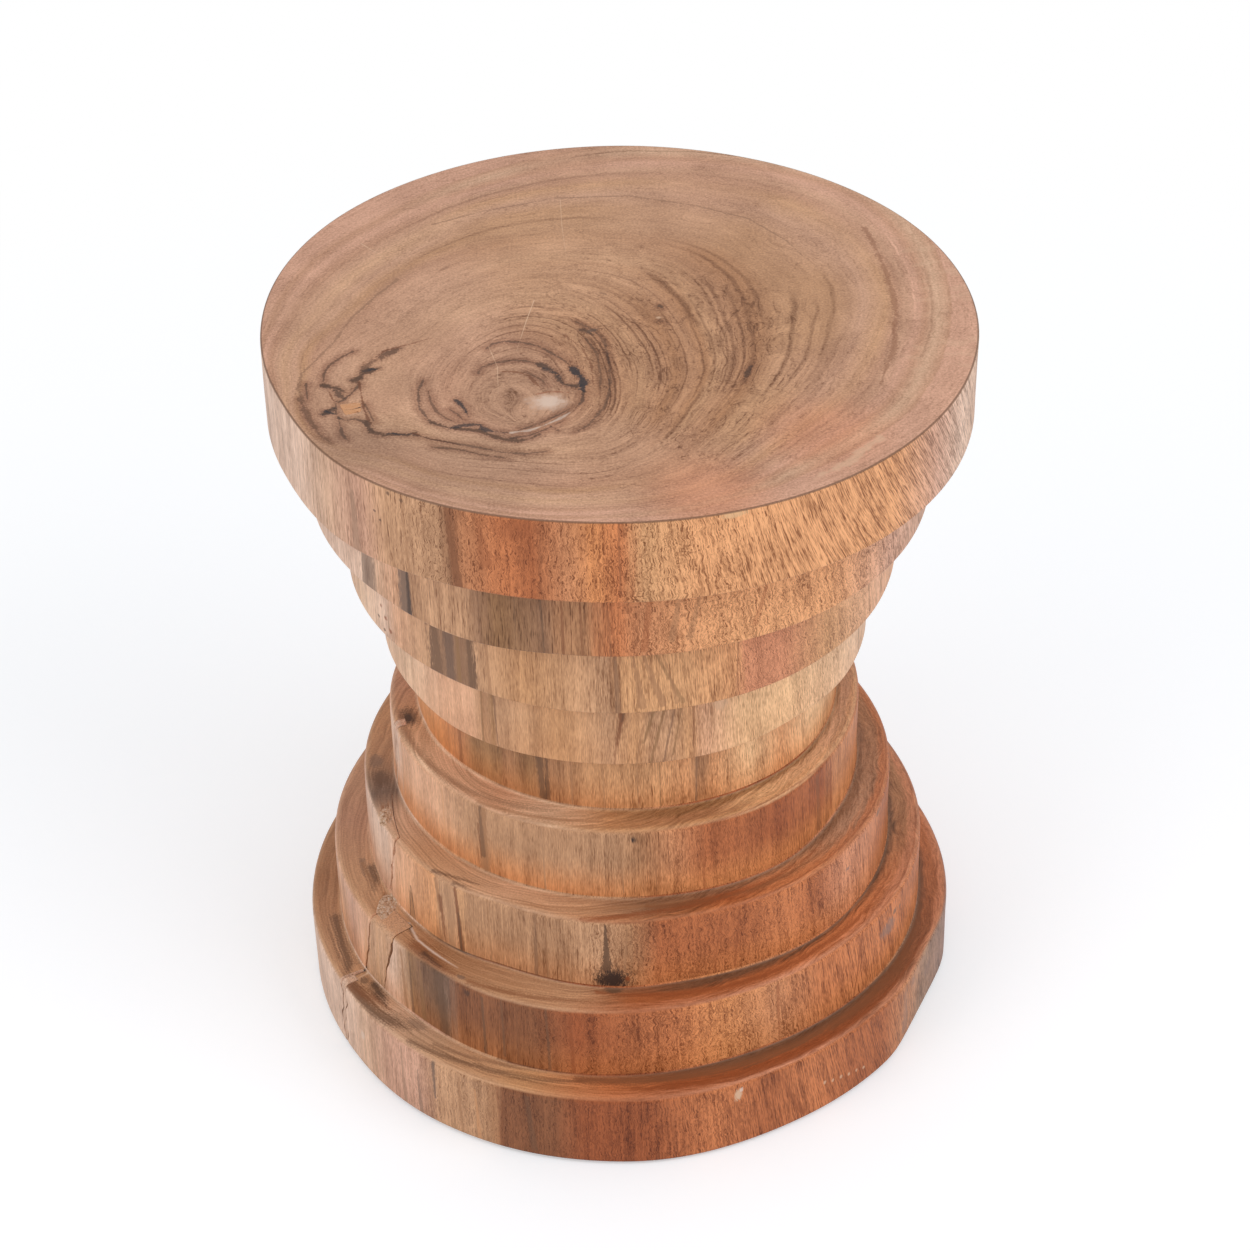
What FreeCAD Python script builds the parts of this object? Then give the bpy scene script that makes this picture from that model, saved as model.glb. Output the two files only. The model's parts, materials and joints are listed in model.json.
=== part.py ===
import FreeCAD, Part
import math
import os
from FreeCAD import Vector

# Stool carved from one length of log: nine round steps, wide at the seat, narrow at the
# waist and wide again at the base. Millimetres, +Z up, origin on the floor under the middle.

# Steps, counted from the seat down
tierHeight = 49.8
tierRadii = [194.6, 173.5, 155.6, 139.4, 122.0, 137.8, 156.0, 175.2, 194.8]
waistTier = 4

# The steps are shaped by hand, so each outline swells and dips a little all the way round.
# Each entry: azimuth of a swell or dip in degrees, its rise as a share of the step's radius.
outlineShares = [
    [(-160, -0.008), (-133, 0.018), (-95, -0.005), (-31, 0.012), (50, -0.004), (143, 0.013)],
    [(-142, -0.006), (-118, 0.015), (-98, -0.001), (-32, 0.003), (45, -0.006), (150, 0.004)],
    [(-147, -0.003), (-90, 0.013), (-33, 0.000), (60, -0.006), (140, 0.004)],
    [(-151, -0.012), (-129, 0.009), (-96, -0.002), (-65, 0.004), (-48, -0.006), (-25, 0.008),
     (60, -0.004), (150, 0.004)],
    [(-100, -0.033), (-20, 0.018), (80, 0.000), (170, 0.004)],
    [(-160, 0.006), (-85, -0.010), (-52, 0.011), (-25, -0.003), (60, 0.004), (130, -0.004)],
    [(-175, 0.002), (-133, 0.010), (-117, -0.010), (-92, 0.003), (-78, -0.009), (-42, 0.017),
     (30, 0.000), (100, -0.005), (150, 0.004)],
    [(-155, 0.012), (-138, 0.003), (-116, 0.018), (-60, -0.013), (-14, 0.012), (60, -0.004),
     (120, 0.005)],
    [(-153, -0.004), (-126, 0.010), (-92, 0.005), (-56, -0.021), (-5, 0.000), (60, -0.003),
     (120, 0.004)],
]

# Worked edges
seatRimChamfer = 1.2
upperRimChamfer = 1.0
ledgeRimChamfer = 2.9
ledgeRimSoftening = 0.9
ledgeCoveChamfer = 1.5
footRimChamfer = 1.2

# Flat sanded on the base at the front right, deeper at the floor than at the ledge
flatAzimuth = -24.0
flatDepthAtFoot = 6.3
flatDepthAtLedge = 4.0

# The shake: a crack down the left of the lower steps. Azimuths in degrees.
glueGap = 0.15
cutOverrun = 8.0

upperSlipTier = 5
upperSlipAzimuths = (-165.0, -167.5)
upperSlipWidths = (7.0, 5.0)
upperSlipDepth = 7.0

openShakeTier = 6
openShakeAzimuths = (-150.0, -153.5)
openShakeWidths = (0.9, 1.3)
openShakeDepth = 9.0

lowerSlipTier = 7
lowerSlipAzimuths = (-145.2, -149.2)
lowerSlipWidths = (24.0, 21.0)
lowerSlipDepth = 15.0

baseSlipTier = 8
baseSlipAzimuths = (-153.2, -154.2)
baseSlipWidths = (6.0, 4.5)
baseSlipDepth = 9.0

# Filler pressed into the shake where it crosses two ledges, and the slip in the seat's knot.
# Places are from the stool's middle.
lowerFillerPlace = (-142.0, -81.0)
lowerFillerLength = 25.0
lowerFillerWidth = 13.0
lowerFillerTurn = -103.0
lowerFillerDepth = 4.5

upperFillerPlace = (-140.6, -57.5)
upperFillerLength = 17.0
upperFillerWidth = 8.5
upperFillerTurn = -95.0
upperFillerDepth = 4.0

knotSlipPlace = (-140.5, -84.0)
knotSlipLength = 15.0
knotSlipWidth = 11.5
knotSlipTurn = 62.0
knotSlipDepth = 6.0

# A patch bulges further one way than the other. Shares of its half length and half width.
patchEndShares = (1.0, 0.86)
patchSideShares = (0.9, 1.0)

# Felt pads under the base
padCount = 4
padDiameter = 34.0
padThickness = 1.8
padCircleRadius = 150.0
firstPadAzimuth = 45.0

tierCount = len(tierRadii)
trunkBottom = padThickness
seatHeight = trunkBottom + tierCount * tierHeight
levelTolerance = 0.01
floorPoint = Vector(0, 0, 0)
upward = Vector(0, 0, 1)


def tierBottom(tier):
    return seatHeight - (tier + 1) * tierHeight


def tierTop(tier):
    return seatHeight - tier * tierHeight


def outlineRadius(tier, azimuth):
    """Distance from the middle to a step's wall in the direction of an azimuth."""
    nodes = outlineShares[tier]
    for index, (endAzimuth, endShare) in enumerate(nodes):
        startAzimuth, startShare = nodes[index - 1]
        span = (endAzimuth - startAzimuth) % 360
        along = (azimuth - startAzimuth) % 360
        if along <= span:
            blend = (1 - math.cos(math.pi * along / span)) / 2
            return tierRadii[tier] * (1 + startShare + (endShare - startShare) * blend)


def heading(azimuth):
    angle = math.radians(azimuth)
    return Vector(math.cos(angle), math.sin(angle), 0)


def polar(radius, azimuth, height):
    return heading(azimuth) * radius + upward * height


def arcFrom(start, startHeading, end):
    """Arc that leaves start along its heading and bulges outwards on its way to end."""
    chord = end - start
    turn = math.acos(min(1, startHeading.dot(chord) / chord.Length))
    outward = Vector(chord.y, -chord.x, 0).normalize()
    middle = (start + end) * 0.5 + outward * (chord.Length * math.tan(turn / 2) / 2)
    return Part.Arc(start, middle, end).toShape()


def smoothSpan(start, startHeading, end, endHeading):
    """Two arcs that meet smoothly and carry an outline from one swell or dip to the next."""
    across = end - start
    both = startHeading + endHeading
    bend = 2 * (1 - startHeading.dot(endHeading))
    reach = across.dot(both)
    pull = (math.sqrt(reach * reach + bend * across.dot(across)) - reach) / bend
    joint = (start + startHeading * pull + end - endHeading * pull) * 0.5
    jointHeading = (end - endHeading * pull - start - startHeading * pull).normalize()
    return [arcFrom(start, startHeading, joint), arcFrom(joint, jointHeading, end)]


def closedChain(nodes):
    """Closed wire of arcs through nodes, each a point and the heading there."""
    arcs = []
    for index, (end, endHeading) in enumerate(nodes):
        start, startHeading = nodes[index - 1]
        arcs += smoothSpan(start, startHeading, end, endHeading)
    return Part.Wire(Part.__sortEdges__(arcs))


def makeOutline(tier, height):
    """A step's outline through its swells and dips."""
    nodes = []
    for azimuth, riseShare in outlineShares[tier]:
        place = polar(tierRadii[tier] * (1 + riseShare), azimuth, height)
        nodes.append((place, heading(azimuth + 90)))
    return closedChain(nodes)


def makeTier(tier):
    """One step of the trunk, a plain block up to its own ledge."""
    return Part.Face(makeOutline(tier, tierBottom(tier))).extrude(upward * tierHeight)


def ringEdges(shape, height, nearest, furthest):
    """Edges lying level at a height, between two distances from the middle."""
    ring = []
    for edge in shape.Edges:
        box = edge.BoundBox
        level = max(abs(box.ZMin - height), abs(box.ZMax - height)) < levelTolerance
        start = edge.Vertexes[0].Point
        if level and nearest < math.hypot(start.x, start.y) < furthest:
            ring.append(edge)
    return ring


def rimEdges(shape, tier, neighbour, height):
    """The outer edge of a step where it stands proud of its neighbour."""
    halfway = (tierRadii[tier] + tierRadii[neighbour]) / 2
    return ringEdges(shape, height, halfway, 2 * tierRadii[tier])


def footEdges(shape, tier, neighbour, height):
    """The inner corner where a step's wall meets the ledge of a wider neighbour."""
    halfway = (tierRadii[tier] + tierRadii[neighbour]) / 2
    return ringEdges(shape, height, 0, halfway)


def makeSandedFlat():
    """Tool for the flat on the base: a thick plate leaning in towards the floor."""
    base = tierCount - 1
    reach = tierRadii[base]
    lean = math.atan2(flatDepthAtFoot - flatDepthAtLedge, tierHeight)
    plate = Part.makeBox(reach, reach + reach, tierHeight + cutOverrun + cutOverrun)
    plate.translate(Vector(0, -reach, -cutOverrun))
    plate.rotate(floorPoint, Vector(0, 1, 0), math.degrees(lean))
    plate.translate(Vector(reach - flatDepthAtFoot, 0, trunkBottom))
    plate.rotate(floorPoint, upward, flatAzimuth)
    above = Part.makeBox(
        reach + reach, reach + reach, tierHeight, Vector(0, -reach, tierTop(base))
    )
    above.rotate(floorPoint, upward, flatAzimuth)
    return plate.cut(above)


def roundLedgeRim(shape, tier):
    """Round a ledge's rim over: one broad chamfer, then its two new edges softened."""
    top = tierTop(tier)
    shape = shape.makeChamfer(ledgeRimChamfer, rimEdges(shape, tier, tier - 1, top))
    edges = rimEdges(shape, tier, tier - 1, top)
    edges += rimEdges(shape, tier, tier - 1, top - ledgeRimChamfer)
    return shape.makeChamfer(ledgeRimSoftening, edges)


def makeCarvedTrunk():
    """The nine steps as one piece of wood, edges worked, before the shake is cut in."""
    trunk = makeTier(0).multiFuse([makeTier(tier) for tier in range(1, tierCount)])
    trunk = trunk.removeSplitter()
    top = 0
    base = tierCount - 1
    trunk = trunk.makeChamfer(seatRimChamfer, rimEdges(trunk, top, waistTier, seatHeight))
    for tier in range(waistTier):
        edges = rimEdges(trunk, tier, tier + 1, tierBottom(tier))
        trunk = trunk.makeChamfer(upperRimChamfer, edges)
    for tier in range(waistTier + 1, tierCount):
        foot = footEdges(trunk, tier - 1, tier, tierTop(tier))
        trunk = trunk.makeChamfer(ledgeCoveChamfer, foot)
        trunk = roundLedgeRim(trunk, tier)
    trunk = trunk.makeChamfer(footRimChamfer, rimEdges(trunk, base, waistTier, trunkBottom))
    return trunk.cut(makeSandedFlat())


def makeShakeTool(tier, azimuths, widths, depth, gap):
    """Slanting wedge along the shake in one step's wall; gap draws its hidden sides in."""
    sections = []
    for azimuth, width, height in zip(azimuths, widths, (tierTop(tier), tierBottom(tier))):
        wall = outlineRadius(tier, azimuth)
        half = width / 2 - gap
        corners = [
            Vector(wall - depth + gap, -half, height),
            Vector(wall + cutOverrun, -half, height),
            Vector(wall + cutOverrun, half, height),
            Vector(wall - depth + gap, half, height),
        ]
        section = Part.makePolygon(corners + corners[:1])
        section.rotate(floorPoint, upward, azimuth)
        sections.append(section)
    return Part.makeLoft(sections, True, True)


def makePatchTool(place, length, width, turn, top, depth, gap):
    """Rounded, slightly uneven patch let into a level face."""
    halfLength = length / 2 - gap
    halfWidth = width / 2 - gap
    reaches = [
        halfLength * patchEndShares[0],
        halfWidth * patchSideShares[0],
        halfLength * patchEndShares[1],
        halfWidth * patchSideShares[1],
    ]
    nodes = []
    for quarter, reach in enumerate(reaches):
        azimuth = turn + 90 * quarter
        nodes.append((polar(reach, azimuth, top - depth + gap), heading(azimuth + 90)))
    patch = Part.Face(closedChain(nodes)).extrude(upward * (depth - gap + cutOverrun))
    patch.translate(Vector(place[0], place[1], 0))
    return patch


def upperSlipTool(gap):
    return makeShakeTool(upperSlipTier, upperSlipAzimuths, upperSlipWidths, upperSlipDepth, gap)


def lowerSlipTool(gap):
    return makeShakeTool(lowerSlipTier, lowerSlipAzimuths, lowerSlipWidths, lowerSlipDepth, gap)


def baseSlipTool(gap):
    return makeShakeTool(baseSlipTier, baseSlipAzimuths, baseSlipWidths, baseSlipDepth, gap)


def openShakeTool():
    return makeShakeTool(openShakeTier, openShakeAzimuths, openShakeWidths, openShakeDepth, 0)


def lowerFillerTool(gap):
    patch = makePatchTool(
        lowerFillerPlace, lowerFillerLength, lowerFillerWidth, lowerFillerTurn,
        tierTop(lowerSlipTier), lowerFillerDepth, gap,
    )
    return patch.cut(makeTier(lowerSlipTier - 1))


def upperFillerTool(gap):
    patch = makePatchTool(
        upperFillerPlace, upperFillerLength, upperFillerWidth, upperFillerTurn,
        tierTop(openShakeTier), upperFillerDepth, gap,
    )
    return patch.cut(makeTier(openShakeTier - 1))


def knotSlipTool(gap):
    return makePatchTool(
        knotSlipPlace, knotSlipLength, knotSlipWidth, knotSlipTurn,
        seatHeight, knotSlipDepth, gap,
    )


def makePads():
    pads = []
    for index in range(padCount):
        azimuth = firstPadAzimuth + 360 * index / padCount
        pad = Part.makeCylinder(padDiameter / 2, padThickness, polar(padCircleRadius, azimuth, 0))
        pads.append(pad)
    return Part.makeCompound(pads)


def makeParts():
    carved = makeCarvedTrunk()
    slips = {
        "upper_shake_slip": upperSlipTool(glueGap),
        "lower_shake_slip": lowerSlipTool(glueGap).cut(lowerFillerTool(0)),
        "base_shake_slip": baseSlipTool(glueGap),
        "upper_ledge_filler": upperFillerTool(glueGap).cut(upperSlipTool(0)),
        "lower_ledge_filler": lowerFillerTool(glueGap),
        "seat_knot_slip": knotSlipTool(glueGap),
    }
    parts = {name: tool.common(carved) for name, tool in slips.items()}
    pockets = [
        upperSlipTool(0),
        lowerSlipTool(0),
        baseSlipTool(0),
        openShakeTool(),
        upperFillerTool(0),
        lowerFillerTool(0),
        knotSlipTool(0),
    ]
    parts["trunk"] = carved.cut(pockets)
    parts["felt_pads"] = makePads()
    return parts


os.makedirs("parts", exist_ok=True)
for name, shape in makeParts().items():
    shape.exportStep("parts/" + name + ".step")
    print(name, len(shape.Solids), "solids", shape.isValid())
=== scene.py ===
import bmesh
import bpy
import json
import math
import numpy as np
from mathutils import Matrix, Vector, noise

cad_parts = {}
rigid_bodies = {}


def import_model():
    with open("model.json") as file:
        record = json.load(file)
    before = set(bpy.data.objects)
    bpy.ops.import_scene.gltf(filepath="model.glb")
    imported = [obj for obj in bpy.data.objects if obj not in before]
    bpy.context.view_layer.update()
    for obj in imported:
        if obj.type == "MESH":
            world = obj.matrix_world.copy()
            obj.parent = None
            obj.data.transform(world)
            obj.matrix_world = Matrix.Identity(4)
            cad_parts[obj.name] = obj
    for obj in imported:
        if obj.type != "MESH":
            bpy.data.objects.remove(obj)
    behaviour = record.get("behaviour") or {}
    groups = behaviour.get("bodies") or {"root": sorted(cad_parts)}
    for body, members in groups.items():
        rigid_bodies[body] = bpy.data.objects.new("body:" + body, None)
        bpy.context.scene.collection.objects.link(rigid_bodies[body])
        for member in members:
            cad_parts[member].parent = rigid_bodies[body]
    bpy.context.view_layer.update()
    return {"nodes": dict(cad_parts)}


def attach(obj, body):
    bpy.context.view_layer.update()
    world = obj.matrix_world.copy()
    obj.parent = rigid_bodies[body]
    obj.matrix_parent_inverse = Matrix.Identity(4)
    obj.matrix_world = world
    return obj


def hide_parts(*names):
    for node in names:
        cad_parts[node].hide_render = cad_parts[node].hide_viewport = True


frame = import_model()
print("stool: construction loaded,", len(frame["nodes"]), "nodes")

# All shapes below are worked out in millimetres and azimuths in degrees, 0 at +X, -90 at the front.

millimetre = 0.001


# Shapes shared by the trunk and the slips let into it

trunk = {
    "stepHeight": 49.8,
    "floorGap": 1.8,  # thickness of the felt
    "radii": [194.6, 173.5, 155.6, 139.4, 122.0, 137.8, 156.0, 175.2, 194.8],  # seat down
    "swells": [  # (azimuth, rise as a share of the radius), eased from one to the next
        [(-160, -0.008), (-133, 0.018), (-95, -0.005), (-31, 0.012), (50, -0.004), (143, 0.013)],
        [(-142, -0.006), (-118, 0.015), (-98, -0.001), (-32, 0.003), (45, -0.006), (150, 0.004)],
        [(-147, -0.003), (-90, 0.013), (-33, 0.0), (60, -0.006), (140, 0.004)],
        [(-151, -0.012), (-129, 0.009), (-96, -0.002), (-65, 0.004), (-48, -0.006), (-25, 0.008),
         (60, -0.004), (150, 0.004)],
        [(-100, -0.033), (-20, 0.018), (80, 0.0), (170, 0.004)],
        [(-160, 0.006), (-85, -0.010), (-52, 0.011), (-25, -0.003), (60, 0.004), (130, -0.004)],
        [(-175, 0.002), (-133, 0.010), (-117, -0.010), (-92, 0.003), (-78, -0.009), (-42, 0.017),
         (30, 0.0), (100, -0.005), (150, 0.004)],
        [(-155, 0.012), (-138, 0.003), (-116, 0.018), (-60, -0.013), (-14, 0.012), (60, -0.004),
         (120, 0.005)],
        [(-153, -0.004), (-126, 0.010), (-92, 0.005), (-56, -0.021), (-5, 0.0), (60, -0.003),
         (120, 0.004)],
    ],
    "inset": 0.4,  # keeps the hand-sanded waves inside the true outline
    "waves": [(3, 0.16, 17.0), (7, 0.11, -11.0), (13, 0.06, 7.0)],  # lobes, swing, rise per radian
    "seatRim": 1.3,
    "upperRim": 1.0,
    "ledgeRim": 3.6,
    "cove": 1.7,
    "footRim": 1.4,
    "flatAzimuth": -24.0,  # the flat sanded on the base
    "flatAtFloor": 6.3,
    "flatAtLedge": 4.0,
    "flatSoftening": 1.2,
}
waist = 4
base = 8


def stepTop(step):
    return trunk["floorGap"] + (base + 1 - step) * trunk["stepHeight"]


def ease(share):
    share = np.clip(share, 0.0, 1.0)
    return share * share * (3.0 - 2.0 * share)


def mix(start, end, share):
    return start + (end - start) * share


def bothAxes(reach, azimuth):
    return reach * np.cos(np.radians(azimuth)), reach * np.sin(np.radians(azimuth))


def outline(step, azimuth):
    nodes = trunk["swells"][step]
    reach = np.full_like(azimuth, trunk["radii"][step])
    for (startAzimuth, startShare), (endAzimuth, endShare) in zip(nodes[-1:] + nodes[:-1], nodes):
        span = (endAzimuth - startAzimuth) % 360
        along = (azimuth - startAzimuth) % 360
        share = mix(startShare, endShare, (1 - np.cos(np.pi * along / span)) / 2)
        reach = np.where(along <= span, trunk["radii"][step] * (1 + share), reach)
    return reach


def wallRadius(step, azimuth, height):
    # distance of a step's wall from the middle, with the hand's waves and the sanded flat
    reach = outline(step, azimuth) - trunk["inset"]
    for lobes, swing, rise in trunk["waves"]:
        reach = reach + swing * np.sin(np.radians(lobes * azimuth) + height / rise + 1.7 * step)
    if step == base:
        share = (height - trunk["floorGap"]) / trunk["stepHeight"]
        depth = mix(trunk["flatAtFloor"], trunk["flatAtLedge"], share)
        facing = np.cos(np.radians(azimuth - trunk["flatAzimuth"]))
        limit = (trunk["radii"][base] - depth) / np.maximum(facing, 0.5)
        soft = trunk["flatSoftening"]
        over = np.clip((reach - limit) / soft, -30, 30)
        reach = reach - soft * np.log1p(np.exp(over))
    return reach


rowShares = {
    "seat": ([0.06, 0.18, 0.32, 0.46, 0.58, 0.68, 0.75, 0.785]
             + [0.795 + 0.0049 * index for index in range(22)]  # close together round the inlay
             + [0.92, 0.955, 0.985, 0.997, 1.0]),
    "ledges": {5: 7, 6: 12, 7: 14, 8: 12},
    "walls": {0: 7, 1: 6, 2: 6, 3: 6, 4: 9, 5: 24, 6: 24, 7: 24, 8: 24},
    "round": (0.33, 0.67, 1.0),
    "end": 0.012,  # how near the first and last rows lie to the ends, which keeps rims crisp
}


def stepRows(step):
    # the rows of a step's surface from the top down: (what it is, how far along it)
    third, end = rowShares["round"], rowShares["end"]

    def evenly(count):
        return [end] + [index / count for index in range(1, count)] + [1 - end, 1.0]

    wall = evenly(rowShares["walls"][step])
    rows = []
    if step == 0:
        rows += [("seat", rowShares["seat"]), ("rim", third)]
    if step > waist:
        rows += [("cove", (0.0,) + third), ("ledge", evenly(rowShares["ledges"][step])),
                 ("rim", (0.2, 0.4, 0.6, 0.8, 1.0))]
    rows += [("wall", [0.0] + wall if 0 < step <= waist else wall)]
    if step < waist:
        rows += [("edge", third), ("under", (0.02, 0.5, 0.97))]
    if step == base:
        rows += [("foot", third), ("bottom", (0.97, 0.6, 0.2))]
    return [(kind, share) for kind, shares in rows for share in shares]


def rowPlace(step, kind, share, azimuth):
    # distance from the middle and height of one row, for an array of azimuths
    top = stepTop(step)
    low = stepTop(step + 1)
    turn = math.pi / 2 * share
    rim = trunk["seatRim"] if step == 0 else trunk["ledgeRim"] if step > waist else 0.0
    edge, cove = trunk["upperRim"], trunk["cove"]
    foot = trunk["footRim"] if step == base else cove if step >= waist else edge
    flat = np.ones_like(azimuth)
    if kind == "seat":
        return share * (wallRadius(step, azimuth, top - rim) - rim), top * flat
    if kind == "rim":
        reach = wallRadius(step, azimuth, top - rim)
        return reach - rim + rim * math.sin(turn), (top - rim + rim * math.cos(turn)) * flat
    if kind == "wall":
        height = mix(top - rim, low + foot, share)
        return wallRadius(step, azimuth, height), height * flat
    if kind == "edge":
        reach = wallRadius(step, azimuth, low + edge)
        return reach - edge + edge * math.cos(turn), (low + edge - edge * math.sin(turn)) * flat
    if kind == "under":
        outer = wallRadius(step, azimuth, low + edge) - edge
        return mix(outer, wallRadius(step + 1, azimuth, low), share), low * flat
    if kind == "cove":
        reach = wallRadius(step - 1, azimuth, top + cove)
        return reach + cove - cove * math.cos(turn), (top + cove - cove * math.sin(turn)) * flat
    if kind == "ledge":
        inner = wallRadius(step - 1, azimuth, top + cove) + cove
        return mix(inner, wallRadius(step, azimuth, top - rim) - rim, share), top * flat
    reach = wallRadius(base, azimuth, low + foot)
    if kind == "foot":
        return reach - foot + foot * math.cos(turn), (low + foot - foot * math.sin(turn)) * flat
    return share * (reach - foot), low * flat


# The shake: a crack that runs down the left of the lower steps. The columns of the mesh are
# bent to follow it, so every slip and crack has clean edges.

shake = {
    "azimuth": -152.0,
    "atTop": {4: -152.0, 5: -166.4, 6: -149.5, 7: -149.2, 8: -152.4},  # by step
    "atBottom": {4: -158.0, 5: -168.6, 6: -153.4, 7: -152.6, 8: -153.0},
    "bend": 15.0,  # how far either side of it the columns are bent in full
    "reach": 40.0,  # and how much further the bend takes to fade
    "narrow": {5: (2.9, 2.1), 8: (1.75, 1.3)},  # width of the narrow slips in degrees, top and bottom
    "wide": {7: (7.8, 7.0)},  # and of the wide one
    "narrowColumn": 1.6,
    "wideColumn": 7.8,
    "pockets": {5: 7.2, 7: 15.2, 8: 9.2},  # how deep the slips sit
    "crossing": {5: 0.5, 6: 1.0, 7: 0.2, 8: 0.5},  # share of each ledge over which the shake crosses
    "stir": {4: 0.0, 5: 1.0, 6: 1.0, 7: 1.0, 8: 2.4},  # how much it wobbles
}

columns = {  # where the mesh's columns lie, in degrees from the shake: (from, to, step)
    "runs": [(-15.0, -7.0, 0.8), (-7.0, 13.0, 0.33), (13.0, 16.0, 0.75),
             (16.0, 55.0, 1.2), (55.0, 65.0, 0.45), (65.0, 344.0, 1.7)],
    "clear": 0.5,  # no other column comes this near to the edge of a slip or crack
    "beside": (0.012, 0.10, 0.2, 0.34, 0.52),  # but these lie either side of it
}


def shakeWobble(height, seed):
    return 0.11 * np.sin(height / 2.3 + seed) + 0.16 * np.sin(height / 5.7 + 2.1 * seed)


def wrap(offsets):
    return (offsets + 180) % 360 - 180


def columnAzimuth(offsets, step, drop, height):
    # where the columns lie on one row; drop runs from 0 at a step's top to 1 at its foot
    wrapped = wrap(offsets)
    line = shake["azimuth"]
    if step >= waist:
        line = mix(shake["atTop"][step], shake["atBottom"][step], drop)
    narrow, wide = shake["narrowColumn"], shake["wideColumn"]
    narrowTo = mix(*shake["narrow"].get(step, (narrow, narrow)), drop)
    wideTo = mix(*shake["wide"].get(step, (wide, wide)), drop)
    stir = shake["stir"].get(step, 0.0)
    left = stir * shakeWobble(height, 0.4)
    right = stir * shakeWobble(height, 3.3) if step == base else left
    far = shakeWobble(height, 5.2) if step in shake["wide"] else 0.0
    bend = shake["bend"]
    knots = [-60.0, -7.0, 0.0, narrow, wide, bend, 60.0]
    moves = [0.0, 0.0, left, narrowTo - narrow + right, wideTo - wide + far, 0.0, 0.0]
    bent = wrapped + np.interp(wrapped, knots, moves)
    window = ease(1.0 - (np.abs(wrapped) - bend) / shake["reach"])
    return shake["azimuth"] + bent + window * (line - shake["azimuth"])


def columnOffsets():
    places = [place for start, end, step in columns["runs"] for place in np.arange(start, end, step)]
    for line in (0.0, shake["narrowColumn"], shake["wideColumn"]):
        places = [place for place in places if abs(place - line) > columns["clear"]]
        places += [line + side * beside for side in (-1, 1) for beside in columns["beside"]]
    return np.array(sorted(places))


def rowAzimuths(offsets, step, kind, share):
    top, low = stepTop(step), stepTop(step + 1)
    here = columnAzimuth(offsets, step, 0.0, top)
    if kind == "wall":
        return columnAzimuth(offsets, step, share, mix(top, low, share))
    if kind in ("edge", "under", "foot", "bottom"):
        return columnAzimuth(offsets, step, 1.0, low)
    if kind in ("cove", "ledge") and step > waist:
        above = columnAzimuth(offsets, step - 1, 1.0, top)
        crossed = min(share / shake["crossing"][step], 1.0) if kind == "ledge" else 0.0
        return mix(above, here, crossed)
    return here


# Filler pressed into the shake on two ledges, and the knot slip in the seat

fillers = {
    "lower_ledge_filler": {"name": "lowerLedgeFiller", "step": 7, "place": (-142.0, -81.2), "length": 23.5,
                           "width": 11.5, "turn": -103.0, "depth": 3.6, "crown": 0.45},
    "upper_ledge_filler": {"name": "upperLedgeFiller", "step": 6, "place": (-140.6, -58.0), "length": 15.0,
                           "width": 7.4, "turn": -95.0, "depth": 3.2, "crown": 0.35},
}

inlay = {
    "corners": [(-146.2, -79.6), (-142.6, -89.6), (-134.4, -86.6), (-135.2, -77.6)],
    "rounding": 1.5,
    "dip": 0.3,  # how far the seat is scraped down round it
    "levels": [(0.0, 5.2), (1.0, 5.2), (1.0, 0.5), (0.98, 0.16), (0.94, 0.04), (0.6, 0.02), (0.3, 0.02),
               (0.0, 0.02)],  # (share of its outline, depth under the seat) from the bottom up
    "lines": [([(-143.6, -85.4), (-139.0, -84.8), (-135.2, -83.0)], 0.55, "soot"),
              ([(-144.0, -88.2), (-140.0, -88.0), (-136.0, -87.0)], 0.3, "chestnut")],
}


def insideInlay(x, y):
    # how far inside the inlay's straight sides a point is
    depths = []
    for (startX, startY), (endX, endY) in zip(inlay["corners"], inlay["corners"][1:] + inlay["corners"][:1]):
        length = math.hypot(endX - startX, endY - startY)
        depths.append(((endX - startX) * (y - startY) - (endY - startY) * (x - startX)) / length)
    return np.minimum.reduce(depths)


def uneven(bearing):
    return 1 + 0.06 * np.sin(3 * bearing + 1.0) + 0.05 * np.sin(5 * bearing + 0.4)


def patchDistance(patch, x, y):
    # 0 at a patch's middle, 1 at its uneven edge
    turn = math.radians(patch["turn"])
    x, y = x - patch["place"][0], y - patch["place"][1]
    along = (x * math.cos(turn) + y * math.sin(turn)) / patch["length"]
    across = (y * math.cos(turn) - x * math.sin(turn)) / patch["width"]
    return np.hypot(along, across) * 2 / uneven(np.arctan2(across, along))


def sinkPatches(step, kind, x, y, height):
    # beds for the fillers and the knot slip
    if step == 0 and kind == "seat":
        height = height - inlay["dip"] * ease((insideInlay(x, y) + 2.0) / 1.8)
    for filler in fillers.values():
        if filler["step"] == step and kind in ("ledge", "rim", "cove"):
            height = height - filler["depth"] * ease((1 - patchDistance(filler, x, y)) / 0.55)
    return height


cracks = {
    "wall": {"step": 6, "half": (0.24, 0.42), "depth": 7.0, "to": 0.93},  # half its width in columns
    "ledges": {6: (0.30, 2.2), 7: (0.0, 2.0), 8: (0.0, 2.6)},  # from where outwards, and how deep
    "ledgeHalf": 0.22,
}


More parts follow.
